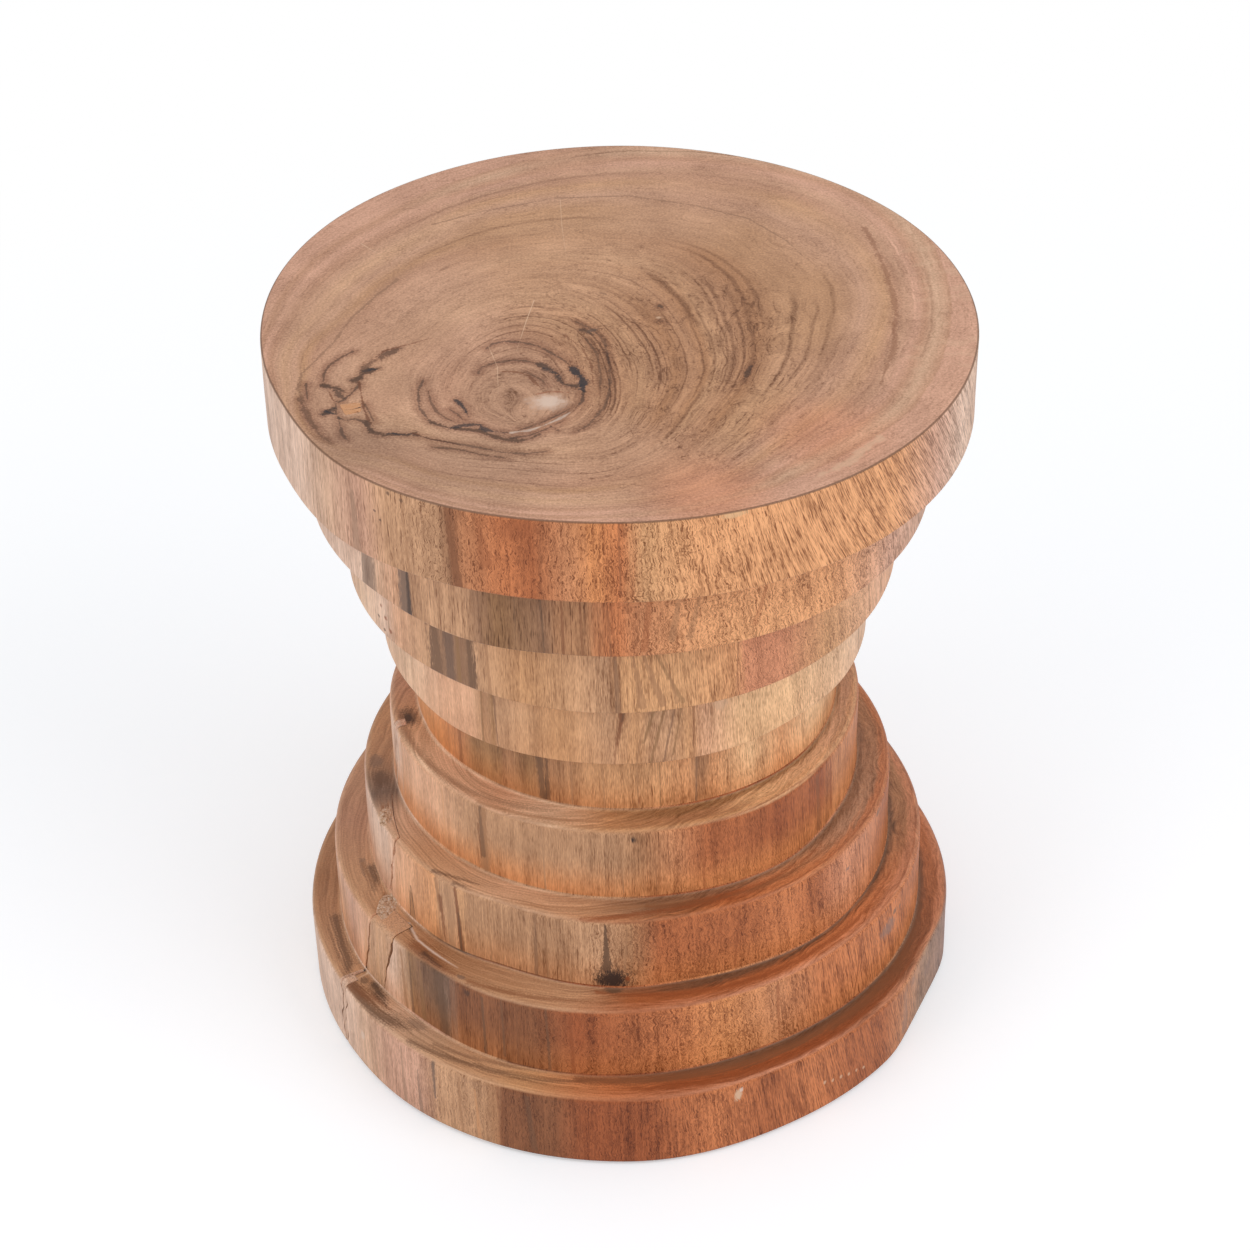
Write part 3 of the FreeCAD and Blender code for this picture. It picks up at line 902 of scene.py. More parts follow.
            ((-110.5, 0), (-110, 1), 0.3, 0.3, "fawn", 0.6),
            ((-160.6, 0), (-160.2, 1), 0.3, 0.2, "milk", 0.6),
            ((-139.4, 0.1), (-139, 0.9), 0.25, 0.3, "honey", 0.6)],
        "knots": [
            (-88.7, 0.13, 0.95, 0.055, "umber", 0.9), (-88.9, 0.13, 0.4, 0.03, "soot", 0.9),
            (120, 0.6, 1.4, 0.09, "umber", 0.8)],
    },
    6: {
        "glow": 0.35, "pores": 0.5, "fibre": 1, "lean": 0.1, "ripple": (-66, 40, 0.9),
        "eyes": [(-93, 0.9, 9, 0.5, 0.6)],
        "bands": [
            (-180, "rose"), (-162, "shell"), (-153, "shell"), (-149, "peach"), (-135, "honey"),
            (-134, "fawn"), (-132.6, "tan"), (-130, "fawn"), (-129.2, "tan"), (-127.4, "gold"),
            (-126.4, "fawn"), (-104, "fawn"), (-97, "tan"), (-90, "hazel"), (-84, "russet"),
            (-66, "russet"), (-54, "copper"), (-48, "russet"), (-38, "ember"), (-30, "ember"),
            (-15, "russet"), (30, "copper"), (75, "amber"), (80, "tan"), (120, "honey"), (160, "tan"),
            (180, "rose")],
        "streaks": [
            ((-143.5, 0.6), (-143.4, 1), 0.9, 1.1, "hazel", 0.85),
            ((-143.7, 0.48), (-144.4, 1), 0.12, 0.14, "soot", 0.95),
            ((-143.5, 0.48), (-142.4, 1), 0.1, 0.16, "soot", 0.95),
            ((-134.6, 0), (-133.4, 0.5), 0.5, 0.8, "hazel", 0.7),
            ((-131, 0), (-130.4, 1), 1.6, 1.2, "fawn", 0.5),
            ((-133.4, 0.3), (-132.4, 1), 0.9, 0.5, "chestnut", 0.85),
            ((-129.2, 0), (-128, 1), 0.6, 0.9, "chestnut", 0.9),
            ((-128.6, 0.4), (-128.2, 1), 0.3, 0.4, "umber", 0.7),
            ((-121.3, 0), (-121.1, 1), 0.2, 0.25, "hazel", 0.7),
            ((-114.5, 0.1), (-114.4, 0.8), 0.15, 0.15, "hazel", 0.6),
            ((-110.2, 0), (-110.4, 1), 0.3, 0.5, "walnut", 0.55),
            ((-107.9, 0), (-107.8, 1), 0.2, 0.3, "hazel", 0.7),
            ((-103, 0.1), (-102.7, 1), 0.2, 0.3, "hazel", 0.6),
            ((-95.2, 0), (-95, 0.7), 0.2, 1.2, "umber", 0.9),
            ((-90.4, 0.1), (-91.2, 0.7), 0.2, 0.35, "hazel", 0.7),
            ((-82, 0.8), (-74, 0.93), 0.25, 0.3, "brick", 0.5),
            ((-66.5, 0.1), (-67.5, 0.9), 0.3, 0.4, "brick", 0.5),
            ((-70.5, 0.2), (-71.8, 0.9), 0.3, 0.3, "brick", 0.45)],
        "knots": [
            (-93.6, 0.86, 4.4, 0.24, "umber", 0.8), (-93.5, 0.88, 3.6, 0.18, "soot", 0.95),
            (-90.6, 0.85, 0.6, 0.045, "brick", 0.8), (-37, 0.33, 1.1, 0.03, "mauve", 0.8),
            (-22, 0.1, 1.4, 0.05, "slate", 0.7), (60, 0.5, 2, 0.12, "umber", 0.8)],
    },
    7: {
        "glow": 0.3, "pores": 0.55, "fibre": 1, "lean": 0.2, "ripple": (-84, 34, 1),
        "eyes": [(-92, 0.5, 7, 0.6, 0.5)],
        "bands": [
            (-180, "rose"), (-166, "peach"), (-158, "rose"), (-150, "peach"), (-143, "shell"),
            (-139, "sand"), (-137, "olive"), (-134, "walnut"), (-129, "umber"), (-125.6, "slate"),
            (-124.8, "chestnut"), (-108, "chestnut"), (-100, "brick"), (-92, "russet"), (-82, "copper"),
            (-72, "amber"), (-62, "bronze"), (-50, "copper"), (-10, "copper"), (40, "russet"),
            (90, "copper"), (95, "hazel"), (130, "gold"), (165, "tan"), (180, "rose")],
        "streaks": [
            ((-139.4, 0.1), (-138.6, 1), 0.35, 0.6, "hazel", 0.7),
            ((-137, 0), (-136.6, 1), 0.3, 0.5, "umber", 0.6),
            ((-128.4, 0), (-127.4, 1), 1.6, 1.2, "umber", 0.6),
            ((-133.6, 0.2), (-133.2, 1), 0.5, 0.9, "olive", 0.5),
            ((-118.6, 0.1), (-118.2, 1), 0.4, 0.5, "umber", 0.6),
            ((-114.4, 0), (-114, 0.9), 0.3, 0.4, "umber", 0.5),
            ((-111.5, 0.1), (-111.2, 1), 0.3, 0.3, "chestnut", 0.6),
            ((-105.8, 0), (-105.6, 1), 0.35, 0.4, "umber", 0.5),
            ((-101.4, 0.1), (-101, 1), 0.4, 0.5, "brick", 0.6),
            ((-61, 0.1), (-60.6, 1), 0.5, 0.3, "brick", 0.5),
            ((-39.2, 0.05), (-41.6, 1), 0.3, 0.25, "brick", 0.8),
            ((-151.5, 0.3), (-151.8, 0.9), 0.5, 0.8, "honey", 0.5)],
        "knots": [
            (-121.9, 0.12, 0.7, 0.06, "soot", 0.6), (-30.5, 0.38, 3.6, 0.14, "mauve", 0.75),
            (-27.6, 0.24, 1, 0.05, "slate", 0.8), (-25.4, 0.27, 0.6, 0.04, "slate", 0.7),
            (75, 0.35, 1.8, 0.12, "umber", 0.7)],
    },
    8: {
        "glow": 0, "pores": 0.6, "fibre": 1, "lean": 0.3, "ripple": (-100, 40, 0.5),
        "bands": [
            (-180, "sand"), (-165, "shell"), (-150, "shell"), (-143, "sand"), (-136, "rose"),
            (-130, "rose"), (-127, "clay"), (-125, "tan"), (-120, "tan"), (-116, "fawn"),
            (-113.6, "hazel"), (-112.8, "chestnut"), (-104, "chestnut"), (-98, "brick"), (-88, "brick"),
            (-76, "copper"), (-66, "russet"), (-56, "copper"), (-48, "russet"), (-40, "russet"),
            (-32, "bronze"), (-22, "drab"), (-10, "mauve"), (10, "russet"), (60, "copper"),
            (110, "russet"), (114, "tan"), (150, "clay"), (180, "sand")],
        "streaks": [
            ((-126, 0.05), (-125.8, 0.6), 0.55, 0.35, "slate", 0.9),
            ((-133.4, 0.1), (-133, 1), 0.25, 0.4, "drab", 0.5),
            ((-120.6, 0.1), (-120.4, 1), 0.3, 0.4, "hazel", 0.6),
            ((-117.5, 0.2), (-117, 1), 0.25, 0.5, "honey", 0.6),
            ((-129.6, 0.3), (-129.4, 1), 0.3, 0.6, "slate", 0.5),
            ((-108, 0.1), (-107, 0.9), 0.5, 0.8, "umber", 0.45),
            ((-64, 0.1), (-58.5, 0.9), 0.5, 0.8, "brick", 0.45),
            ((-75, 0.2), (-70.5, 0.9), 0.4, 0.7, "brick", 0.4),
            ((-32, 0.2), (-31, 0.8), 1, 1.6, "mauve", 0.45)],
        "knots": [
            (-71.8, 0.2, 0.75, 0.1, "cream", 0.9), (-71.2, 0.13, 0.5, 0.04, "milk", 0.8),
            (-54, 0.6, 0.35, 0.035, "cream", 0.7), (-52.2, 0.64, 0.35, 0.03, "cream", 0.7),
            (-50.2, 0.66, 0.35, 0.035, "cream", 0.7), (-48.3, 0.7, 0.3, 0.03, "cream", 0.7),
            (-46.4, 0.72, 0.35, 0.03, "cream", 0.7), (-44.6, 0.76, 0.4, 0.03, "cream", 0.7),
            (-28.4, 0.2, 1.1, 0.1, "mauve", 0.6), (-20, 0.45, 2, 0.12, "mauve", 0.5),
            (-141.6, 0.35, 0.8, 0.05, "clay", 0.6), (-145, 0.5, 0.8, 0.08, "milk", 0.5),
            (100, 0.4, 2.2, 0.14, "umber", 0.7)],
    },
}

# The lower steps' ledges: the tone at each azimuth, the darker tone painted as shade in the inner corner at
# the foot, the tone at the rim, and lines from one (azimuth, share outwards) to the next, with their half
# width in degrees, tone and strength

# The paler tones on the left of the ledges, between about -160 and -110 degrees, are partly the wood's own
# tone and partly painted sheen.
ledges = {
    5: {
        "foot": "olive", "rim": "gold",
        "bands": [
            (-180, "clay"), (-166, "tan"), (-152, "cream"), (-125, "peach"), (-110, "cream"),
            (-96, "gold"), (-80, "hazel"), (-68, "hazel"), (-55, "straw"), (-25, "biscuit"), (30, "clay"),
            (90, "gold"), (140, "tan"), (180, "clay")],
        "lines": [
            ([(-170, 0.75), (-150, 0.75), (-132, 0.62), (-118, 0.35), (-108, 0.05)], 0.9, "walnut", 0.5),
            ([(-128, 0.9), (-112, 0.6), (-98, 0.4), (-80, 0.3)], 0.6, "hazel", 0.6),
            ([(-120, 0.95), (-100, 0.72), (-78, 0.62), (-50, 0.7)], 0.6, "hazel", 0.5)],
        "knots": [
            (-167, 0.42, 5, 0.42, "umber", 0.75), (-166.4, 0.45, 2.4, 0.22, "soot", 0.75),
            (-165, 0.94, 0.7, 0.1, "soot", 0.9)],
    },
    6: {
        "foot": "walnut", "rim": "copper",
        "bands": [
            (-180, "fawn"), (-166, "slate"), (-158, "sand"), (-140, "tan"), (-118, "biscuit"),
            (-100, "tan"), (-86, "walnut"), (-78, "chestnut"), (-66, "brick"), (-48, "bronze"),
            (-30, "dun"), (10, "hazel"), (90, "tan"), (140, "gold"), (180, "fawn")],
        "lines": [
            ([(-136, 0.95), (-130, 0.7), (-125, 0.55)], 0.5, "umber", 0.7),
            ([(-130, 0.95), (-126, 0.8)], 0.5, "umber", 0.6),
            ([(-120, 0.9), (-105, 0.5), (-92, 0.3), (-75, 0.2)], 0.6, "hazel", 0.6),
            ([(-100, 0.95), (-88, 0.6), (-72, 0.45), (-40, 0.4)], 0.7, "brick", 0.6),
            ([(-86, 0.3), (-60, 0.55), (-30, 0.6)], 0.6, "chestnut", 0.6)],
        "knots": [(-170.5, 0.5, 4, 0.36, "umber", 0.75), (-177, 0.6, 3, 0.3, "slate", 0.6)],
    },
    7: {
        "foot": "umber", "rim": "ember",
        "bands": [
            (-180, "clay"), (-160, "tan"), (-146, "tan"), (-134, "hazel"), (-118, "fawn"), (-102, "tan"),
            (-88, "russet"), (-65, "russet"), (-35, "copper"), (0, "hazel"), (80, "fawn"), (140, "tan"),
            (180, "clay")],
        "lines": [
            ([(-136.5, 0.7), (-131, 0.82), (-126, 0.95)], 1.9, "chestnut", 0.85),
            ([(-134, 0.78), (-129, 0.88)], 0.7, "soot", 0.7),
            ([(-143, 0.25), (-138, 0.5), (-132, 0.56), (-126, 0.62)], 0.28, "milk", 0.75),
            ([(-143, 0.32), (-138, 0.58)], 0.5, "umber", 0.8),
            ([(-163, 0.2), (-159, 0.25), (-155.8, 0.42)], 1.1, "umber", 0.8),
            ([(-166, 0.38), (-161, 0.5)], 0.6, "slate", 0.6),
            ([(-126, 0.55), (-114, 0.45), (-100, 0.4)], 0.5, "hazel", 0.6),
            ([(-122, 0.95), (-105, 0.7), (-92, 0.6)], 0.6, "chestnut", 0.6),
            ([(-97, 0.2), (-70, 0.5), (-40, 0.55), (-15, 0.5)], 0.5, "brick", 0.7),
            ([(-165, 0.4), (-155, 0.3)], 0.5, "hazel", 0.6)],
        "knots": [(-93.6, 0.08, 2.2, 0.2, "umber", 0.8), (-124, 0.9, 1.2, 0.1, "slate", 0.7)],
    },
    8: {
        "foot": "umber", "rim": "ember",
        "bands": [
            (-180, "hazel"), (-160, "tan"), (-148, "fawn"), (-137, "sand"), (-122, "tan"), (-108, "gold"),
            (-95, "copper"), (-80, "brick"), (-55, "brick"), (-30, "chestnut"), (20, "copper"),
            (90, "fawn"), (140, "tan"), (180, "hazel")],
        "lines": [
            ([(-150, 0.8), (-146, 0.86), (-142, 0.84), (-138, 0.68), (-134, 0.5)], 1.5, "umber", 0.8),
            ([(-150.6, 0.9), (-145, 0.5), (-141, 0.42)], 1.3, "chestnut", 0.7),
            ([(-148, 0.22), (-144.4, 0.26), (-142, 0.36)], 0.9, "soot", 0.75),
            ([(-169, 0.3), (-162, 0.36), (-155.5, 0.42), (-153.5, 0.7)], 1.1, "umber", 0.75),
            ([(-152.6, 0), (-151.9, 0.9)], 0.3, "soot", 0.9),
            # a painted highlight on the raised lip beside the crack
            ([(-151.6, 0), (-150.9, 0.85)], 0.25, "cream", 0.8),
            ([(-132, 0.9), (-118, 0.62), (-106, 0.5), (-95, 0.2)], 0.6, "umber", 0.6),
            ([(-128, 0.55), (-116, 0.3), (-106, 0.15)], 0.5, "walnut", 0.6),
            ([(-100, 0.25), (-70, 0.2), (-30, 0.25), (0, 0.2)], 0.9, "chestnut", 0.85),
            ([(-90, 0.55), (-60, 0.6), (-20, 0.55)], 0.5, "brick", 0.6)],
        "knots": [(-150, 0.35, 1.3, 0.16, "soot", 0.55), (-134, 0.25, 3, 0.2, "slate", 0.5)],
    },
}

lightness = {  # 0.56 leaves a tone as it is
    "wall": 0.62,
    "ledge": 0.60,
    "seat": 0.67,
    "slip": 0.58,
    "shadow": (0.40, 0.290, 0.205, 1.0),  # what a tone is multiplied by in the dark
    "shine": (1.43, 1.45, 1.45, 1.0),  # and in the light
}


figure = {  # how finely each kind of grain varies across and along the wood, its detail and roughness
    "wander": (0.05, 0.008, 1.0),
    "jag": (0.5, 0.03, 3.0),
    "mottle": (0.05, 0.035),
    "cloud": (0.11, 0.06),
    "streak": (0.17, 0.006, 3.0, 0.6),
    "fibre": (1.0, 0.03, 2.0, 0.6),
    "pore": (1.5, 0.10, 1.0),
    "fine": (2.2, 0.25, 1.0),
    "band": (0.9, 0.06, 2.0, 0.6),
    "swirl": (0.07, 0.07, 0.24),
    "swirled": 5.5,  # how far the ripples push the grain sideways, in millimetres
    "roughness": (0.38, 0.5),
    "bump": 0.25,
}


def shade(shader, colour, amount):
    # darkens and reddens where the amount is low, brightens where it is high
    tint = shader.blend(amount, lightness["shadow"], lightness["shine"])
    return shader.blend(1.0, colour, tint, "MULTIPLY")


def bandColour(shader, azimuth, bands):
    return shader.ramp((azimuth + 180.0) * (1 / 360), [((where + 180) / 360, tone) for where, tone in bands])


def ringDistance(shader, place, pith, swells):
    # 0 at the pith, 1 at the bark: growth rings that stay inside one another off centre
    radius = trunk["radii"][0]
    across = (-pith[0], -pith[1])
    rest = radius * radius - across[0] ** 2 - across[1] ** 2
    x, y, _ = shader.split(place)
    fromPithX, fromPithY = x - pith[0], y - pith[1]
    along = fromPithX * across[0] + fromPithY * across[1]
    squared = fromPithX * fromPithX + fromPithY * fromPithY
    ring = (shader.maths("SQRT", along * along + squared * rest) - along) * (1 / rest)
    level = shader.join(x, y, 0.0)
    for swellX, swellY, reach, amount in swells:
        away = shader.distance(level, (swellX, swellY, 0.0))
        ring = ring + shader.span(away, 0.0, reach, amount, 0.0, "SMOOTHERSTEP")
    return ring, level


def drawStreaks(shader, colour, spread, high, stir, streaks):
    for (startAzimuth, startShare), (endAzimuth, endShare), startHalf, endHalf, tone, strength in streaks:
        away, along = shader.trail(spread, [(startAzimuth, startShare * high), (endAzimuth, endShare * high)])
        away = away + stir * (0.8 * max(startHalf, endHalf)) - along * (endHalf - startHalf)
        inner = max(startHalf * 0.2, startHalf - 0.8)
        outer = min(startHalf * 1.15, startHalf + 0.4)
        near = shader.span(away, inner, outer, strength, 0.0)
        colour = shader.paint(colour, tone, near)
        spread = shader.after(spread, near)
    return colour


def drawKnots(shader, colour, spread, high, stir, knots):
    for azimuth, share, half, halfHigh, tone, strength in knots:
        away = shader.oval(spread, (azimuth, share * high), (half, halfHigh * high)) + stir * 0.9
        colour = shader.paint(colour, tone, shader.span(away, 0.45, 1.05, strength, 0.0))
    return colour


def wallWood(shader, place, step):
    looks = walls[step]
    fibrous = looks["fibre"]
    x, y, z = shader.split(place)
    degree = math.radians(trunk["radii"][step])
    high = trunk["stepHeight"] / degree  # the wall's height in degrees
    down = (stepTop(step) - z) * (1 / degree)
    wander = shader.grain(place, *figure["wander"])
    jag = shader.grain(place, *figure["jag"])
    azimuth = shader.maths("ARCTAN2", y, x) * math.degrees(1.0)
    unrolled = shader.join(azimuth, down, 0.0)
    colour = bandColour(shader, azimuth + wander * 2.6 + jag * 2.6, looks["bands"])
    # painted bounce light: amber laid on towards the foot of the wall, where the ledge below throws warm
    # light back up
    glow = shader.span(down + jag * 4.0, high * 0.4, high, 0.0, looks["glow"])
    colour = shader.paint(colour, "amber", glow)
    mottle = shader.grain(place, *figure["mottle"])
    cloud = shader.grain(place, *figure["cloud"])
    near = shader.span(azimuth, 70.0, 165.0, 1.0, 0.0)  # fades out at the back, where the azimuth jumps
    right = shader.span(azimuth, -112.0, -78.0) * near
    coarse = shader.span(abs(azimuth + 45.0), 60.0, 110.0, 1.0, 0.45) * looks["pores"]
    lean = shader.span(azimuth, -100.0, -30.0, 0.0, looks["lean"] / trunk["radii"][step])
    turn = (z - (stepTop(step) - 25.0)) * lean * near
    leaning = shader.node("VectorRotate", {"rotation_type": "Z_AXIS"}, named={"Vector": place, "Angle": turn})
    rippleAt, rippleReach, ripple = looks["ripple"]
    rippled = abs(azimuth - rippleAt) + wander * 20.0
    rippled = shader.span(rippled, rippleReach * 0.5, rippleReach, 1.0, 0.06) * ripple
    swirl = shader.noise(shader.stretch(place, *figure["swirl"]), output=1)
    swirl = shader.vector("SUBTRACT", swirl, (0.5, 0.5, 0.5))
    swirl = shader.stretch(swirl, figure["swirled"], figure["swirled"], 0.0)
    bent = shader.vector("MULTIPLY_ADD", swirl, shader.join(rippled, rippled, 0.0), leaning)
    streak = shader.grain(leaning, *figure["streak"])
    kinds = ("fibre", "pore", "fine", "band")
    fibre, pore, fine, band = [shader.grain(bent, *figure[kind]) for kind in kinds]
    dash = shader.span(pore, 0.05, 0.2) * coarse
    strokes = shader.span(band, -0.24, 0.0) - 0.82
    amount = (lightness["wall"] + mottle * 0.5 + cloud * (0.2 + right * (0.4 * fibrous)) + streak * 0.9
              + strokes * (0.12 + right * 0.32) * fibrous + fibre * (0.9 + right * 0.9) * fibrous
              + fine * (0.8 + right * 0.6) - dash * 0.65)
    for eyeAzimuth, share, half, halfHigh, strength in looks.get("eyes", []):
        away = shader.oval(unrolled, (eyeAzimuth, share * high), (half, halfHigh * high))
        arcs = shader.ripple(away * 4.5 + cloud * 1.5, wander * 6.0, 0.0, 3.0, 0.65)
        amount = amount + arcs * shader.span(away, 0.7, 1.3, strength, 0.0)
    colour = shade(shader, colour, amount)
    spread = shader.join(azimuth + wander * 1.2, down, 0.0)
    colour = drawStreaks(shader, colour, spread, high, jag * 0.9 + fine, looks["streaks"])
    colour = drawKnots(shader, colour, unrolled, high, mottle * 0.8 + fine * 1.6, looks["knots"])
    return colour, azimuth, fibre, dash


def finishWood(shader, colour, fibre, dash, bump):
    roughness = shader.span(fibre, -0.2, 0.2, *figure["roughness"], "LINEAR")
    shader.finish(colour, roughness, fibre - dash * 0.4, bump)


ledgeRings = {  # where the rings' middle lies, and how often each kind varies between it and the bark
    "pith": (-62.0, -78.0),
    "broad": 26.0,
    "fine": 100.0,
    "splinters": 260.0,
}


def ledgeWood(shader, place, azimuth, step):
    looks = ledges[step]
    ring, level = ringDistance(shader, place, ledgeRings["pith"], [])
    stir = shader.grain(level, 0.02, 0.0)
    ring = ring + stir * 0.10
    rings = shader.ripple(ring * ledgeRings["broad"], 0.0, 0.0)
    lines = shader.ripple(ring * ledgeRings["fine"], stir * 6.0, 0.0)
    splinters = shader.ripple(ring * ledgeRings["splinters"], azimuth * 0.5, 3.0)
    speck = shader.grain(level, 0.9, 0.0)
    colour = bandColour(shader, azimuth + stir * 14.0, looks["bands"])
    x, y, _ = shader.split(place)
    inner, outer = trunk["radii"][step - 1], trunk["radii"][step]
    across = (shader.maths("SQRT", x * x + y * y) - inner) * (1 / (outer - inner))
    wide = (outer - inner) / math.radians(outer)  # the ledge's width in degrees
    right = shader.span(azimuth, -115.0, -70.0) * shader.span(azimuth, 90.0, 165.0, 1.0, 0.0)
    # painted shade: the ledge darkens into the inner corner at the foot of the wall above, on the right
    foot = shader.span(across + lines * 0.4, 0.40, 0.12, 0.0, 0.9)
    rim = shader.span(across + lines * 0.5, 0.55, 0.85, 0.0, 0.7)
    edge = shader.span(abs(across + lines * 0.08 - 0.93), 0.0, 0.05, 0.5, 0.0)
    for share, tone in ((foot, looks["foot"]), (rim, looks["rim"]), (edge, "brick")):
        colour = shader.paint(colour, tone, share * right)
    amount = lightness["ledge"] + rings * 0.8 + lines * 0.9 + splinters * (0.3 + right * 0.9) + speck * 0.6
    colour = shade(shader, colour, amount)
    spread = shader.join(azimuth, across * wide, 0.0)
    for points, half, tone, strength in looks["lines"]:
        away, along = shader.trail(spread, [(where, share * wide) for where, share in points])
        away = away + along * (half * 0.8) + (lines * 1.8 + speck * 1.6) * half
        near = shader.span(away, 0.0, half * 1.7, strength, 0.0)
        colour = shader.paint(colour, tone, near)
        spread = shader.after(spread, near)
    return drawKnots(shader, colour, spread, wide, lines * 0.8 + speck * 0.8, looks["knots"])


def stepMaterial(step):
    material, shader = newMaterial("wood step %d" % (step + 1))
    place = shader.place()
    colour, azimuth, fibre, dash = wallWood(shader, place, step)
    if step > waist:
        flat = ledgeWood(shader, place, azimuth, step)
        colour = shader.blend(shader.span(shader.facingUp(), 0.35, 0.85), colour, flat)
    finishWood(shader, colour, fibre, dash, figure["bump"])
    return material


